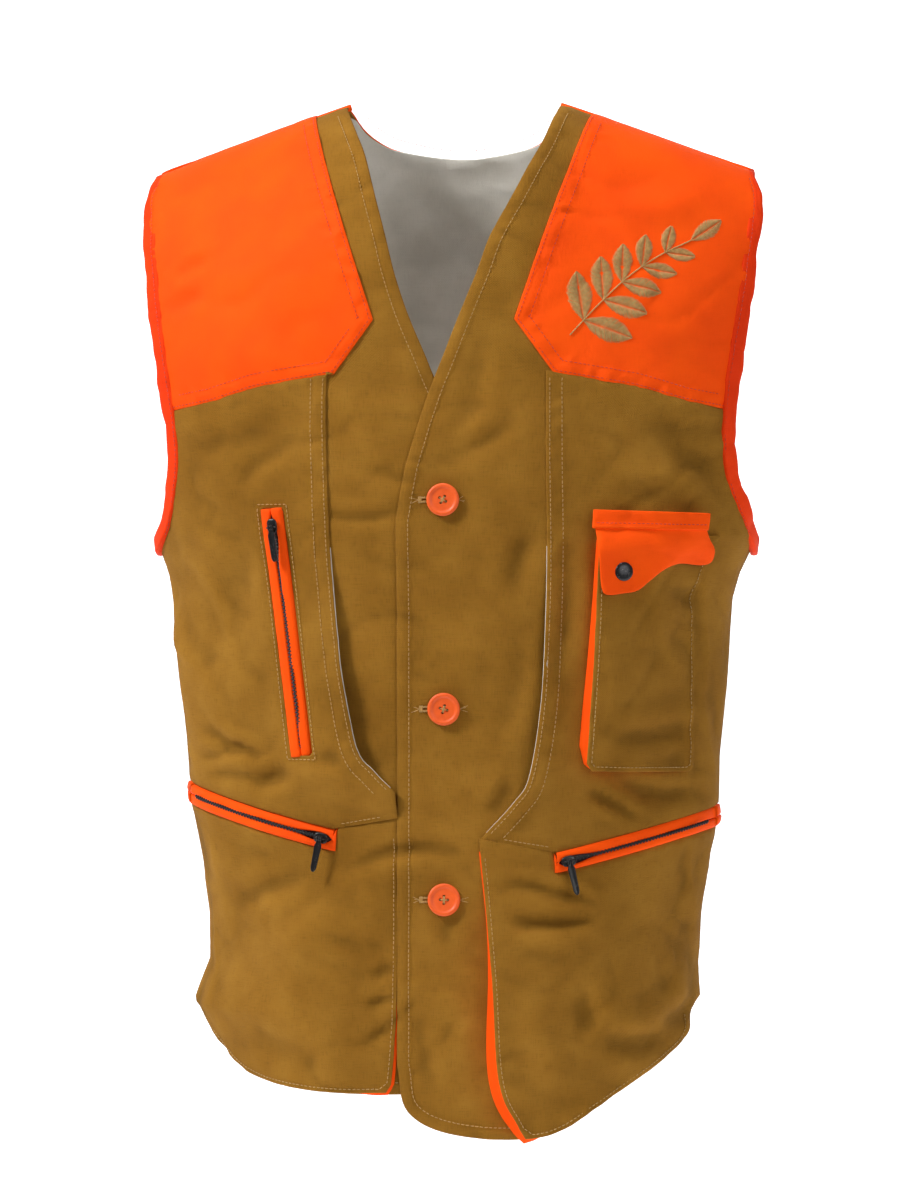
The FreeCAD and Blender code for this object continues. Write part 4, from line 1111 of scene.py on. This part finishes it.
# ---------------------------------------------------------------- armhole bindings
def binding_profile(inward, seed, across):
    def shape(length, index):
        wide = 0.93 * min(1.3, 1 / max(0.3, abs(across[index][0])))
        swell = 1 + 0.10 * float(MEDIUM(length / 6.5 + seed, 3.3)) + 0.05 * float(FINE(length / 3.0, seed))
        edge = 0.7 * float(MEDIUM(length / 9.0, seed + 5.5)) + 0.5 * math.sin(length * 0.11 + seed)
        points = []
        for k in range(18):
            angle = 2 * math.pi * k / 18
            c, s = math.cos(angle), math.sin(angle)
            w = 4.9 + 5.3 * math.copysign(abs(c) ** 0.62, c)
            n = 1.35 + 3.4 * swell * math.copysign(abs(s) ** 0.6, s)
            if 6.6 < w < 8.6:
                n -= 0.5 * math.copysign(1, s)
            points.append((inward * (w - edge * (w < 5)) * wide, n))
        return points
    return shape


def build_bindings(side, tag, form):
    front_line = curve(sided(ARMHOLE, side), 3)
    back_line = curve(sided(BACK_ARMHOLE, side), 3)
    front = rail(front_line, 0.0, form)
    piece = sweep("binding_front_" + tag, front, binding_profile(-side, 1.7 + side, front[3]), BINDING)
    enter(piece, tag, ["arm_binding_front_" + tag], tape=(front[4][-1], ["front_cloth_" + tag]))
    stitch_row(tag, "red", beside(front_line, -7.6 * side)[2:-2], 4.4, form, radius=0.24)

    back = rail(back_line, 0.0, flat_form, True)
    piece = sweep("binding_back_" + tag, back, binding_profile(side, 6.1 + side, back[3]), BINDING)
    enter(piece, "torso", ["arm_binding_" + tag], tape=(back[4][-1], ["back_cloth"]))
    stitch_row("torso", "red", beside(back_line, -7.6 * side)[2:-2], 4.4, back=True, radius=0.24)


# ---------------------------------------------------------------- overlays, pockets and gussets
def zip_slot(side, zip_line):
    """The path of a lower zip out to the side seam, and the edges of the cloth above and below it."""
    end_z = zip_line[2][1]
    far = [(side * 180.5, end_z + 1.5), (side * float(half_width(end_z + 2)), end_z + 3)]
    path = curve([(zip_line[0][0] - 3 * side, zip_line[0][1] - 0.4), *zip_line, *far])
    upper, lower = path + [0, SLOT_ABOVE], path - [0, SLOT_BELOW]
    for edge in (upper, lower):
        edge[-1, 0] = side * float(half_width(edge[-1, 1]))
    return path, upper, lower


def chest_slot():
    """The slot for the chest zip, with cut corners, and the stitched box round it."""
    (x0, z0), (x1, z1) = CHEST_ZIP
    slot = [(x0 - 8, z0 + 3), (x0 - 6, z0 + 5), (x0 + 6, z0 + 5), (x0 + 8, z0 + 3),
            (x1 + 8, z1 - 2), (x1 + 6, z1 - 4.4), (x1 - 6, z1 - 4.4), (x1 - 8, z1 - 2)]
    box = [(x0 - 10.5, z0 + 7.4), (x0 + 10, z0 + 7.4), (x1 + 10, z1 - 6.5), (x1 - 10, z1 - 6.5),
           (x0 - 10.5, z0 + 7.4)]
    return np.array(slot), dense(box, 3)


def build_overlay(side, tag, mouth, edge_x, pocket_edge, zip_line):
    """The cloth over the chest with its slanted pocket mouth; returns its foot, where the pocket begins."""
    form = left_mouth if side > 0 else mouth_bulge
    arm = armhole(ARMHOLE, side, EDGE_INSET, SHOULDER_OUT)
    arm = arm[arm[:, 1] < -214]
    top = dense(sided([(abs(edge_x), -190), (74, -191), (127, -200), (158, -209), (188, -215)], side), 4)
    _, upper, _ = zip_slot(side, zip_line)
    inner = curve([(edge_x, -190), (edge_x * 0.995, -250), *mouth])
    foot = dense([mouth[-1], (pocket_edge[0][0], pocket_edge[0][1] + 1.2),
                  (upper[0, 0] - 4 * side, upper[0, 1] + 0.6)], 4)
    seam = side_seam(upper[-1][1], ARMPIT_Z, side)
    outline = wound(joined(inner, foot, upper, seam, arm[::-1], top[::-1]), side)
    rows = [beside(inner, 2.0 * side)[1:-1], beside(inner, 10.0 * side)[1:-2], foot[-9:] + [0, 2.2]]
    holes = []
    if side < 0:
        slot, box = chest_slot()
        holes.append(slot)
        rows.append(box)
    piece = cloth("overlay_cloth_" + tag, outline, OVER, CANVAS, form, seams=rows, holes=holes, hem=10.0,
                  spacing=4.0)
    enter(piece, tag, ["overlay_" + tag], sheet=("hung", ["front_cloth_" + tag]))
    for row in rows:
        stitch_row(tag, "tan", row, OVER[1] + 0.45, form)

    edging = rail(inner[inner[:, 1] < -306][:-1], OVER[0], form)
    lip = [(-w * side, n) for w, n in MOUTH_LIP]
    piece = sweep("mouth_edge_" + tag, edging, lambda s, k: lip, WHITE)
    enter(piece, FRONTS[tag], ["mouth_edging_" + tag], tape=(edging[4][-1], ["overlay_cloth_" + tag]))
    return foot


def build_lower_pocket(side, tag, base_form, foot, pocket_edge, zip_line, hem):
    """The lower pocket, its gusset down the free edge and along the hem, and its zip."""
    form = left_lower if side > 0 else right_lower
    zip_path, _, lower = zip_slot(side, zip_line)
    front_edge = curve(pocket_edge)
    hem_part = np.array([p for p in curve(hem) if p[0] * side > abs(pocket_edge[-1][0]) + 3]) + [0, 1.5]
    hem_part[-1] = (side * float(half_width(POCKET_HEM_Z)), POCKET_HEM_Z)
    top_edge = foot[1:][foot[1:, 1] < pocket_edge[0][1] + 1.3] - [0, 0.5]
    outline = joined(front_edge, hem_part, side_seam(POCKET_HEM_Z, lower[-1][1], side), lower[::-1],
                     dense([lower[0] - [0.5 * side, 0], top_edge[-1]], 4), top_edge[::-1])
    row = beside(joined(front_edge, hem_part[1:-1]), 2.2 * side)[3:-2]
    piece = cloth("pocket_cloth_" + tag, wound(outline, side), OVER, CANVAS, form, seams=[row], hem=7.0,
                  spacing=4.0, ripple=0.6)
    enter(piece, FRONTS[tag], ["lower_pocket_" + tag], sheet=("hung", ["front_cloth_" + tag]))
    stitch_row(tag, "tan", row, OVER[1] + 0.45, form)

    line = dense(np.vstack([front_edge[2:], hem_part[hem_part[:, 0] * side < 72]]), 4)
    swell = 1.0 + 6.8 * smooth((-545 - line[:, 1]) / 120) * (1.0 if side > 0 else 0.15)
    swell = (swell * (1 - 0.9 * smooth((line[:, 0] * side - 46) / 22)))[:, None]
    high = place_line(line, OVER[0] - 0.2, form)
    low = place_line(beside(line, -side * swell), BASE[1] + 0.5, base_form)
    tuck = place_line(beside(line, 3.5 * side), OVER[0],
                      lambda x, z: base_form(x, z) + 0.45 * (form(x, z) - base_form(x, z)))
    piece = grid_sheet("gusset_cloth_" + tag, folded_strip(high, tuck, low, 7), 0.9, ORANGE)
    enter(piece, FRONTS[tag], ["pocket_gusset_" + tag], sheet=("folded", ["pocket_cloth_" + tag], 16))
    build_lower_zip(side, tag, base_form, zip_path, zip_line)


# ---------------------------------------------------------------- zips
def lip_profile(sign, gap, half=6.3):
    """Puckered fold of cloth along one side of a zip; half is its width up to the edge of the cloth."""
    def shape(length, index):
        g = gap(length)
        wave = 0.35 * float(FINE(length / 7.0, sign + 3.0)) + 0.4 * float(MEDIUM(length / 13.0, sign + 8.0))
        pairs = [(g + 0.3, 1.7), (g, 3.2), (g + 0.3, 4.7 + wave), (g + 1.3, 5.1 + wave),
                 (half * 0.65, 4.7 + wave), (half - 0.5, 4.1 + 0.5 * wave), (half - 0.1, 1.45),
                 (half + 1.8, 1.3), (3.0, 1.3)]
        return [(sign * w, n) for w, n in pairs]
    return shape


def zip_gap(total, slider_at, mouth):
    """Half gap between the lips: shut at both ends, agape beside the slider."""
    def gap(length):
        shut = float(smooth((length - 3) / 4) * smooth((total - 4 - length) / 6))
        uneven = 0.3 * float(MEDIUM(length / 15.0, 9.0))
        return 0.1 + shut * (0.45 + uneven + mouth * math.exp(-((length - slider_at) / 13) ** 2))
    return gap


def teeth_parts(points, normal, across, half=1.25):
    """Two rows of small interlocking elements along a line."""
    sections = [(-0.55, 0.5, half * 0.75, 3, 0), (-0.2, 0.62, half * 0.85, 3, 0),
                (0.35, 0.62, half * 0.8, 3, 0), (0.6, 0.45, half * 0.65, 3, 0)]
    parts = []
    for k in range(len(points)):
        side = 1 if k % 2 else -1
        centre = points[k] + across[k] * side * half * 0.28
        ahead = np.cross(across[k], normal[k])
        parts.append(stack(sections, centre, (ahead, across[k], normal[k]), 10))
    return parts


def circle_through(a, b, c):
    """Centre, unit axis and radius of the circle through three points."""
    u, v = b - a, c - a
    w = np.cross(u, v)
    centre = a + (np.dot(v, v) * np.cross(w, u) + np.dot(u, u) * np.cross(v, w)) / (2 * np.dot(w, w))
    axis = unit(w)
    return centre, axis if axis[2] > 0 else -axis, np.linalg.norm(a - centre)


def cad_point(x, z, offset, form):
    """A point of the plain surface, where the CAD fittings stand."""
    return np.array([x, -float(depth(np.array(x, float), np.array(z, float), offset, form, False)), z])


def turned(vector, axis, angle):
    return (vector * math.cos(angle) + np.cross(axis, vector) * math.sin(angle)
            + axis * np.dot(axis, vector) * (1 - math.cos(angle)))


def slider_shape(centre, ahead, across, outward):
    """Slider body: waisted top plate with rounded wings and a diamond neck; the bail for the pull is made in
    bail_shape.
    """
    plate = [(2.95, 3.6, 2.6, 3, 0), (3.2, 4.7, 3.4, 3, 0), (3.9, 4.9, 3.6, 3, 0), (4.5, 4.6, 3.3, 3, 0),
             (4.7, 3.8, 2.6, 3, 0)]
    axes = (ahead, across, outward)
    parts = [stack(plate, centre, axes)]
    parts.append(stack([(0.9, 4.6, 1.0, 3, 0), (3.0, 4.4, 0.9, 3, 0)], centre, axes, 16))
    return parts


def bail_shape(eye, pull_along, outward):
    across = unit(np.cross(pull_along, outward))
    path = []
    for k in range(13):
        angle = math.pi * k / 12
        reach = 3.4 * math.cos(angle)
        path.append(eye + across * reach + outward * (-2.2 + 2.4 * math.sin(angle) ** 0.6))
    return tube(path, 0.62, 8)


def pull_shape(eye, drop, outward, length=22.0):
    """Flat cast pull with a round eye, a waist, a raised border and a recessed middle."""
    across = unit(np.cross(drop, outward))
    ring = []
    for k in range(20):
        angle = 2 * math.pi * k / 20
        ring.append(eye + drop * (0.2 + 1.55 * math.cos(angle)) + outward * 1.45 * math.sin(angle))
    parts = []
    for shift in (-1.3, 0.0, 1.3):
        parts.append(tube([p + across * shift for p in ring], 0.52, 8, True))
    outline = [(1.2, 1.5), (3.0, 1.7), (5.2, 2.5), (length * 0.55, 2.2), (length - 2.0, 2.0), (length, 1.5),
               (length + 1.1, 0.7)]
    rings = []
    for at, half in outline:
        for w, n in ((-half, -0.35), (-half, 0.45), (-half + 0.5, 0.7), (-half * 0.45, 0.35),
                     (half * 0.45, 0.35),
                     (half - 0.5, 0.7), (half, 0.45), (half, -0.35), (half * 0.4, -0.6), (-half * 0.4, -0.6)):
            rings.append(eye + drop * at + across * w + outward * n)
    parts.append((np.array(rings), ring_faces(len(outline), 10)))
    return parts


ZIP_TAPE = [(-5.0, 1.3), (-5.0, 1.8), (0, 2.2), (5.0, 1.8), (5.0, 1.3)]
TOOTH_PITCH, EYE_HEIGHT = 1.25, 6.6


def build_lips(frames, slider_at, mouth, halves, tape_name, body, rests_on, welts):
    """Two lips, by name and half width, and the tape under them; the first lip stands for the welts."""
    total = frames[4][-1]
    gap = zip_gap(total, slider_at, mouth)
    for sign, (name, half) in zip((1, -1), halves.items()):
        piece = sweep(name, frames, lip_profile(sign, gap, half), ORANGE)
        enter(piece, body, [welts] if sign > 0 else [], tape=(total, [rests_on]))
    enter(sweep(tape_name, frames, lambda s, k: ZIP_TAPE, COIL), body, [], tape=(total, [rests_on]))


def build_slider(names, nodes, middle, eye, axes, drop):
    """A slider with its bail, and its pull, each on the body that shares its node's name."""
    parts = slider_shape(middle, *axes) + [bail_shape(eye, drop, axes[2])]
    enter(solid(names[0], parts, ENAMEL), nodes[0], [nodes[0]])
    enter(solid(names[1], pull_shape(eye, drop, axes[2]), ENAMEL), nodes[1], [nodes[1]])


def build_lower_zip(side, tag, form, zip_path, zip_line):
    body = FRONTS[tag]
    halves = {"zip_lip_upper_" + tag: 7.5, "zip_lip_under_" + tag: 6.5}
    build_lips(rail(zip_path, 0.0, form), 13.0, 2.6, halves, "zip_tape_" + tag, body, "pocket_cloth_" + tag,
               "lower_zip_welts_" + tag)
    places = [cad_point(x, z, ZIP_LIFT, form) for x, z in zip_line]
    centre, axis, radius = circle_through(*places)
    first = (places[0] - centre) / radius
    last = (places[2] - centre) / radius
    sweep_angle = math.acos(np.clip(first @ last, -1, 1)) * side
    count = int(abs(sweep_angle) * radius / TOOTH_PITCH)
    points, normal, across = [], [], []
    for k in range(count):
        outward = turned(first, axis, sweep_angle * (k + 0.5) / count)
        points.append(centre + outward * radius)
        normal.append(outward)
        across.append(axis)
    piece = solid("zip_teeth_" + tag, teeth_parts(points, normal, across), COIL)
    enter(piece, body, ["lower_zip_teeth_" + tag])

    outward = turned(first, axis, 5.0 / radius * side)
    middle = centre + outward * radius
    ahead = np.cross(axis, outward)
    nodes = ("lower_slider_" + tag, "lower_pull_" + tag)
    build_slider(("zip_slider_" + tag, "zip_pull_" + tag), nodes, middle, middle + outward * EYE_HEIGHT,
                 (ahead, axis, outward), -axis)


def build_chest_zip():
    (x0, z0), (x1, z1) = CHEST_ZIP
    line = dense([(x0 - 0.5, z0 + 4.8), (x0, z0), (x1, z1), (x1 + 0.4, z1 - 4.2)], 3)
    build_lips(rail(line, 0.0), 20.0, 2.4, {"chest_lip_outer": 7.9, "chest_lip_inner": 7.9}, "chest_tape",
               "right_front", "overlay_cloth_r", "chest_zip_welts")
    top, low = cad_point(x0, z0, ZIP_LIFT, flat_form), cad_point(x1, z1, ZIP_LIFT, flat_form)
    run = np.linalg.norm(low - top)
    ahead = (low - top) / run
    normal = normals(np.array([-107.0]), np.array([-365.0]), False)[0]
    across = unit(np.cross(ahead, normal))
    outward = np.cross(across, ahead)
    count = int((run - 2) / TOOTH_PITCH)
    points = [top + ahead * (1 + (run - 2) * (k + 0.5) / count) for k in range(count)]
    piece = solid("chest_teeth", teeth_parts(points, [outward] * count, [across] * count), COIL)
    enter(piece, "right_front", ["chest_zip_teeth"])
    middle = top + ahead * 7.0
    build_slider(("chest_zip_slider", "chest_zip_pull"), ("chest_slider", "chest_pull"), middle,
                 top + ahead * 8.0 + outward * EYE_HEIGHT, (ahead, across, outward), ahead)


# ---------------------------------------------------------------- chest pocket and flap
def build_chest_pocket():
    corners = [(104, -300), (100, -380), (95, -452), (98, -457), (166, -459), (169.5, -456), (170, -425),
               (178, -300)]
    outline = joined(dense(corners[:3], 4), dense(corners[2:6], 3), dense(corners[5:], 4),
                     dense([corners[-1], corners[0]], 4))
    inner = dense([(106.5, -304), (102.5, -380), (97.6, -452), (100, -454.6), (165, -456.6), (167.2, -454),
                   (167.6, -425), (175.5, -306)], 3)
    pocket = cloth("chest_pocket_cloth", outline, POCKET_LAYER, CANVAS, chest_bulge, seams=[inner], hem=6.0,
                   spacing=3.6, ripple=0.5)
    enter(pocket, "left_front", ["chest_pocket_front"], sheet=("hung", ["overlay_cloth_l"]))
    stitch_row("lf", "tan", inner, POCKET_LAYER[1] + 0.4, chest_bulge)

    edge = dense([(104, -303), (100, -380), (95.5, -452), (98.5, -456.5), (165, -458.5)], 4)
    down = np.where(edge[:, 1] > -452, 3.0 + 3.6 * smooth((-306 - edge[:, 1]) / 150), 0.6)
    down = np.convolve(np.pad(down, 2, mode="edge"), np.ones(5) / 5, "valid")
    high = place_line(edge, POCKET_LAYER[0] - 0.3, chest_bulge)
    low = place_line(beside(edge, -down[:, None]), OVER[1] + 0.6, left_mouth)
    tuck = place_line(beside(edge, 1.0), OVER[1] + 1.0,
                      lambda x, z: left_mouth(x, z) + 0.5 * (chest_bulge(x, z) - placket_lift(x, z)))
    gusset = grid_sheet("chest_gusset_cloth", folded_strip(high, tuck, low, 8), 0.9, ORANGE)
    enter(gusset, "left_front", ["chest_pocket_gusset"], sheet=("folded", ["chest_pocket_cloth"], 15))


def build_flap():
    """The stitched band along the top of the chest pocket, and the flap that hangs from it."""
    layer = (FLAP_LAYER[0] + 1.4, FLAP_LAYER[1] + 1.5)
    outline = dense([(98, -283), (97.5, -294.6), (167.5, -295.6), (168.5, -285), (98, -283)], 3)[:-1]
    row = dense([(99, -291.4), (167, -292.4)], 3)
    band = cloth("flap_band_cloth", outline, layer, ORANGE, chest_bulge, seams=[row], hem=2.0, spacing=3.0,
                 pucker=0.3)
    enter(band, "left_front", ["flap_band"], sheet=("folded", ["overlay_cloth_l"], 12))
    stitch_row("lf", "red", row, FLAP_LAYER[1] + 1.95, chest_bulge, radius=0.24)

    outline = joined(curve(FLAP_EDGE[::-1], 2.5), dense([FLAP_EDGE[0], FLAP_EDGE[-1]], 3))
    flap = cloth("flap_cloth", outline, FLAP_LAYER, ORANGE, chest_bulge, hem=2.0, spacing=3.0, pucker=0.3)
    enter(flap, "chest_flap", ["chest_flap"], sheet=("hung", ["flap_band_cloth"]))


def build_snap():
    """The snap: a domed cap and a ring on the flap, and a stud on the pocket."""
    seat = spot_on(*SNAP, 0, chest_bulge)
    normal = unit(spot_on(*SNAP, 1.0, chest_bulge) - seat)
    side = unit(np.cross([0, 0, 1.0], normal))
    axes = (side, np.cross(normal, side), normal)
    dome = [(FLAP_LAYER[1] + height, radius, radius, 2, 0) for height, radius in DOME_RINGS]
    enter(solid("snap_dome", [stack(dome, seat, axes, 40)], GUNMETAL), "chest_flap", ["snap_cap"])
    ring = [seat + (math.cos(a) * axes[0] + math.sin(a) * axes[1]) * 3.9 + normal * (FLAP_LAYER[0] - 0.55)
            for a in np.linspace(0, 2 * math.pi, 32, endpoint=False)]
    enter(solid("snap_ring", [tube(ring, 0.75, 10, True)], GUNMETAL), "chest_flap", ["snap_socket"])
    stud = [(POCKET_LAYER[1] + height, radius, radius, 2, 0) for height, radius in STUD_RINGS]
    enter(solid("snap_post", [stack(stud, seat, axes, 32)], GUNMETAL), "left_front", ["snap_stud"])


# ---------------------------------------------------------------- buttons
# height and radius of the rings of a button, from its back over the rim to its middle
BUTTON_RINGS = [(0.0, 8.6), (0.25, 10.2), (0.9, 10.9), (1.8, 11.0), (2.5, 10.8), (2.95, 10.2), (3.1, 9.4),
                (2.95, 8.6), (2.45, 8.0), (2.2, 7.4), (2.12, 6.0), (2.15, 3.5), (2.2, 0.4)]
HOLE_AT, HOLE_RADIUS = 1.75, 0.95
BUTTONHOLE_CENTRE, BUTTONHOLE_HALF = -3.0, 12.5


def build_buttons():
    """Four-hole buttons with a raised rim and a dished middle, sewn on with crossed threads."""
    for number, (z, lean) in enumerate(zip(BUTTON_Z, (0.02, -0.04, 0.10)), 1):
        spot = spot_on(0.0, z, BASE[1] + 1.1)
        normal = unit(np.array([0.03 * number - 0.05, -1.0, lean]))
        side = unit(np.cross([0, 0, 1.0], normal))
        turn = 0.25 * number
        up = np.cross(normal, side)
        x_axis = math.cos(turn) * side + math.sin(turn) * up
        y_axis = np.cross(normal, x_axis)
        sections = [(height, radius, radius, 2, 0) for height, radius in BUTTON_RINGS]
        disc = solid("button_disc_%d" % number, [stack(sections, spot, (x_axis, y_axis, normal), 56)], BUTTON)
        pin = [(height, HOLE_RADIUS, HOLE_RADIUS, 2, 0) for height in (-2, 5)]
        pins = []
        for dx, dy in ((-1, -1), (-1, 1), (1, -1), (1, 1)):
            centre = spot + x_axis * dx * HOLE_AT + y_axis * dy * HOLE_AT
            pins.append(stack(pin, centre, (x_axis, y_axis, normal), 16))
        cutter = solid("cutter", pins, BUTTON)
        cut = disc.modifiers.new("holes", "BOOLEAN")
        cut.object = cutter
        cut.solver = "EXACT"
        graph = bpy.context.evaluated_depsgraph_get()
        made = bpy.data.meshes.new_from_object(disc.evaluated_get(graph))
        disc.modifiers.clear()
        disc.data = made
        bpy.data.objects.remove(cutter)
        enter(disc, "right_front", ["button_%d" % number])
        threads = []
        for turned_over in (1, -1):
            for shift in (-0.3, 0.3):
                path = []
                for t in np.linspace(0, 1, 9):
                    px = HOLE_AT * (2 * t - 1) + shift
                    py = HOLE_AT * (2 * t - 1) * turned_over - shift
                    rise = 2.0 + 0.7 * math.sin(math.pi * t) ** 0.5 - 1.4 * (t in (0.0, 1.0))
                    path.append(spot + x_axis * px + y_axis * py + normal * rise)
                threads.append(tube(path, 0.3, 6))
        foot = spot_on(0.0, z, BASE[1] - 0.4, flat_form)
        shank = [foot + (spot + normal * 0.8 - foot) * t for t in np.linspace(0, 1, 5)]
        threads.append(tube(shank, 1.3, 12))
        piece = solid("button_cross_%d" % number, threads, TAN_THREAD)
        enter(piece, "right_front", ["button_thread_%d" % number])


def build_buttonholes():
    """Close overcast stitches round each slit, with bar tacks and loose thread ends."""
    for number, z in enumerate(BUTTON_Z, 1):
        rng = np.random.default_rng(70 + number)
        parts = []
        left, right = BUTTONHOLE_CENTRE - BUTTONHOLE_HALF, BUTTONHOLE_CENTRE + BUTTONHOLE_HALF

        def spot(x, dz, rise=0.35):
            return spot_on(x, z + dz, BASE[1] + rise)

        for x in np.arange(left + 0.4, right - 0.4, 0.62):
            for sign in (-1, 1):
                end = spot(x + rng.normal(0, 0.12), sign * (2.1 + rng.normal(0, 0.15)))
                parts.append(stitch_part(spot(x, sign * 0.5), end, FORWARD, 0.3))
        for x in [end + shift for end in (left, right) for shift in np.arange(-0.9, 1.0, 0.45)]:
            parts.append(stitch_part(spot(x, -2.3), spot(x, 2.3), FORWARD, 0.32))
        for end_x, reach in ((left - 0.5, -1), (right + 0.5, 1)):
            for _ in range(3):
                length, tilt = rng.uniform(3, 6.5), rng.uniform(-2.4, 2.4)
                path = [spot(end_x + reach * length * t, tilt * t, 0.4 + 1.2 * math.sin(2.2 * t)) for t in
                        np.linspace(0, 1, 6)]
                parts.append(tube(path, 0.17, 5))
        piece = solid("buttonhole_stitches_%d" % number, parts, TAN_THREAD)
        enter(piece, "left_front", ["buttonhole_%d" % number])


# ---------------------------------------------------------------- embroidery
PATCH_NORMAL = np.array([0.25, -0.93, 0.26])
SPRIG_STEM = [(84, -166), (102, -146), (121, -127), (142, -111), (164, -99)]


def leaf(start, angle, length, width, rng):
    """Satin-stitched leaf in the plane of the patch: slanting threads on both sides of a midrib."""
    parts = []
    direction = np.array([math.cos(angle), math.sin(angle)])
    across = np.array([-direction[1], direction[0]])
    for s in np.arange(0.6, length - 0.3, 0.8):
        t = s / length
        half = width * math.sin(math.pi * t ** 0.8) ** 0.9
        if half < 0.5:
            continue
        for sign in (-1, 1):
            root = start + direction * s
            tip = start + direction * min(length,
                                          s + half * 0.5) + across * sign * half * rng.uniform(0.94, 1.04)
            ends = [spot_on(*point, OVER[1] + 0.15) for point in (root, tip)]
            parts.append(stitch_part(*ends, PATCH_NORMAL, 0.36))
    return parts


def build_sprig():
    """A plain leafy sprig in tan thread on the left shoulder patch."""
    rng = np.random.default_rng(5)
    stem = curve(SPRIG_STEM, 2.0)
    parts = []
    for a, b in zip(stem[:-1], stem[1:]):
        start, end = spot_on(*a, OVER[1] + 0.2), spot_on(*b, OVER[1] + 0.2)
        parts.append(stitch_part(start, end + (end - start) * 0.3, PATCH_NORMAL, 0.5))
    for index, share in enumerate((0.14, 0.31, 0.48, 0.65, 0.82)):
        point = stem[int(share * (len(stem) - 1))]
        size = 34 - 3.4 * index
        parts += leaf(point, math.radians(98 - 5 * index), size, size * 0.25, rng)
        parts += leaf(point, math.radians(-20 + 3 * index), size, size * 0.25, rng)
    parts += leaf(stem[-1], math.radians(36), 25, 6.4, rng)
    piece = solid("leaf_sprig", parts, TAN_THREAD)
    follow_front(piece)


def build_stitches():
    bodies = {"torso": "torso", "lf": "left_front"}
    for (group, thread), parts in stitch_groups.items():
        piece = joined_shape("topstitch_%s_%s" % (group, thread), parts, THREADS[thread])
        if group in bodies:
            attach(piece, bodies[group])
        else:
            follow_front(piece)


# ---------------------------------------------------------------- studio
FLOOR_FRONT, FLOOR_BACK, FLOOR_ROUND, FLOOR_Z, WALL_TOP = -0.7, 4.6, 1.2, -1.05, 4.5
CAMERA_AWAY, CAMERA_TURN, CAMERA_LENS, CAMERA_AIM = 3.0, 4.0, 129.3, (0.0015, 0, -0.343)
# name, place, size and power
LIGHTS = [("key", (-1.7, -1.1, 1.2), 0.5, 62), ("fill", (1.6, -2.2, 0.2), 1.4, 20),
          ("top", (0.0, -0.5, 1.8), 0.7, 16)]


def build_studio():
    """Pale floor that curves up behind, soft lights and a long lens nearly in front of the vest."""
    profile = [(FLOOR_FRONT, FLOOR_Z), (FLOOR_BACK, FLOOR_Z)]
    for k in range(1, 13):
        turn = math.pi / 2 * k / 12
        profile.append((FLOOR_BACK + FLOOR_ROUND * math.sin(turn),
                        FLOOR_Z + FLOOR_ROUND * (1 - math.cos(turn))))
    profile.append((FLOOR_BACK + FLOOR_ROUND, WALL_TOP))
    points = [(side * 5.0, y, z) for y, z in profile for side in (-1, 1)]
    faces = [(2 * k, 2 * k + 1, 2 * k + 3, 2 * k + 2) for k in range(len(profile) - 1)]
    mesh = bpy.data.meshes.new("floor")
    mesh.from_pydata(points, [], faces)
    mesh.polygons.foreach_set("use_smooth", [True] * len(mesh.polygons))
    floor = bpy.data.objects.new("floor", mesh)
    bpy.context.scene.collection.objects.link(floor)
    pale = bpy.data.materials.new("pale_floor")
    pale.use_nodes = True
    shader = pale.node_tree.nodes["Principled BSDF"]
    shader.inputs["Base Color"].default_value = (0.88, 0.88, 0.88, 1)
    shader.inputs["Roughness"].default_value = 0.9
    shader.inputs["Emission Color"].default_value = (1, 1, 1, 1)
    shader.inputs["Emission Strength"].default_value = 0.85
    mesh.materials.append(pale)

    world = bpy.data.worlds.new("studio")
    world.use_nodes = True
    world.node_tree.nodes["Background"].inputs["Color"].default_value = (1.0, 1.0, 1.0, 1)
    world.node_tree.nodes["Background"].inputs["Strength"].default_value = 0.20
    bpy.context.scene.world = world

    target = Vector((0, 0, -0.35))
    for name, place_at, size, power in LIGHTS:
        light = bpy.data.lights.new(name, "AREA")
        light.size = size
        light.energy = power
        lamp = bpy.data.objects.new(name, light)
        lamp.location = place_at
        lamp.rotation_euler = (target - Vector(place_at)).to_track_quat("-Z", "Y").to_euler()
        bpy.context.scene.collection.objects.link(lamp)

    camera = bpy.data.cameras.new("camera")
    camera.sensor_fit = "VERTICAL"
    camera.sensor_height = 36.0
    camera.lens = CAMERA_LENS
    eye = bpy.data.objects.new("camera", camera)
    turn = math.radians(CAMERA_TURN)
    aim = Vector(CAMERA_AIM)
    eye.location = aim + Vector((math.sin(turn), -math.cos(turn), 0)) * CAMERA_AWAY
    eye.rotation_euler = (aim - eye.location).to_track_quat("-Z", "Y").to_euler()
    bpy.context.scene.collection.objects.link(eye)
    bpy.context.scene.camera = eye
    bpy.context.scene.view_settings.view_transform = "Standard"


build_studio()
for side, tag, form, hem in ((1, "l", placket_lift, LEFT_HEM), (-1, "r", flat_form, RIGHT_HEM)):
    build_front(side, tag, form, hem)
    build_patch(side, tag, form)
    build_bindings(side, tag, form)
build_back()
for side, tag, form, mouth, edge_x, pocket_edge, zip_line, hem in (
        (1, "l", placket_lift, LEFT_MOUTH, 69.0, LEFT_POCKET_EDGE, LEFT_ZIP, LEFT_HEM),
        (-1, "r", flat_form, RIGHT_MOUTH, -79.0, RIGHT_POCKET_EDGE, RIGHT_ZIP, RIGHT_HEM)):
    foot = build_overlay(side, tag, mouth, edge_x, pocket_edge, zip_line)
    build_lower_pocket(side, tag, form, foot, pocket_edge, zip_line, hem)
build_chest_zip()
build_chest_pocket()
build_flap()
build_snap()
build_buttons()
build_buttonholes()
build_sprig()
build_stitches()
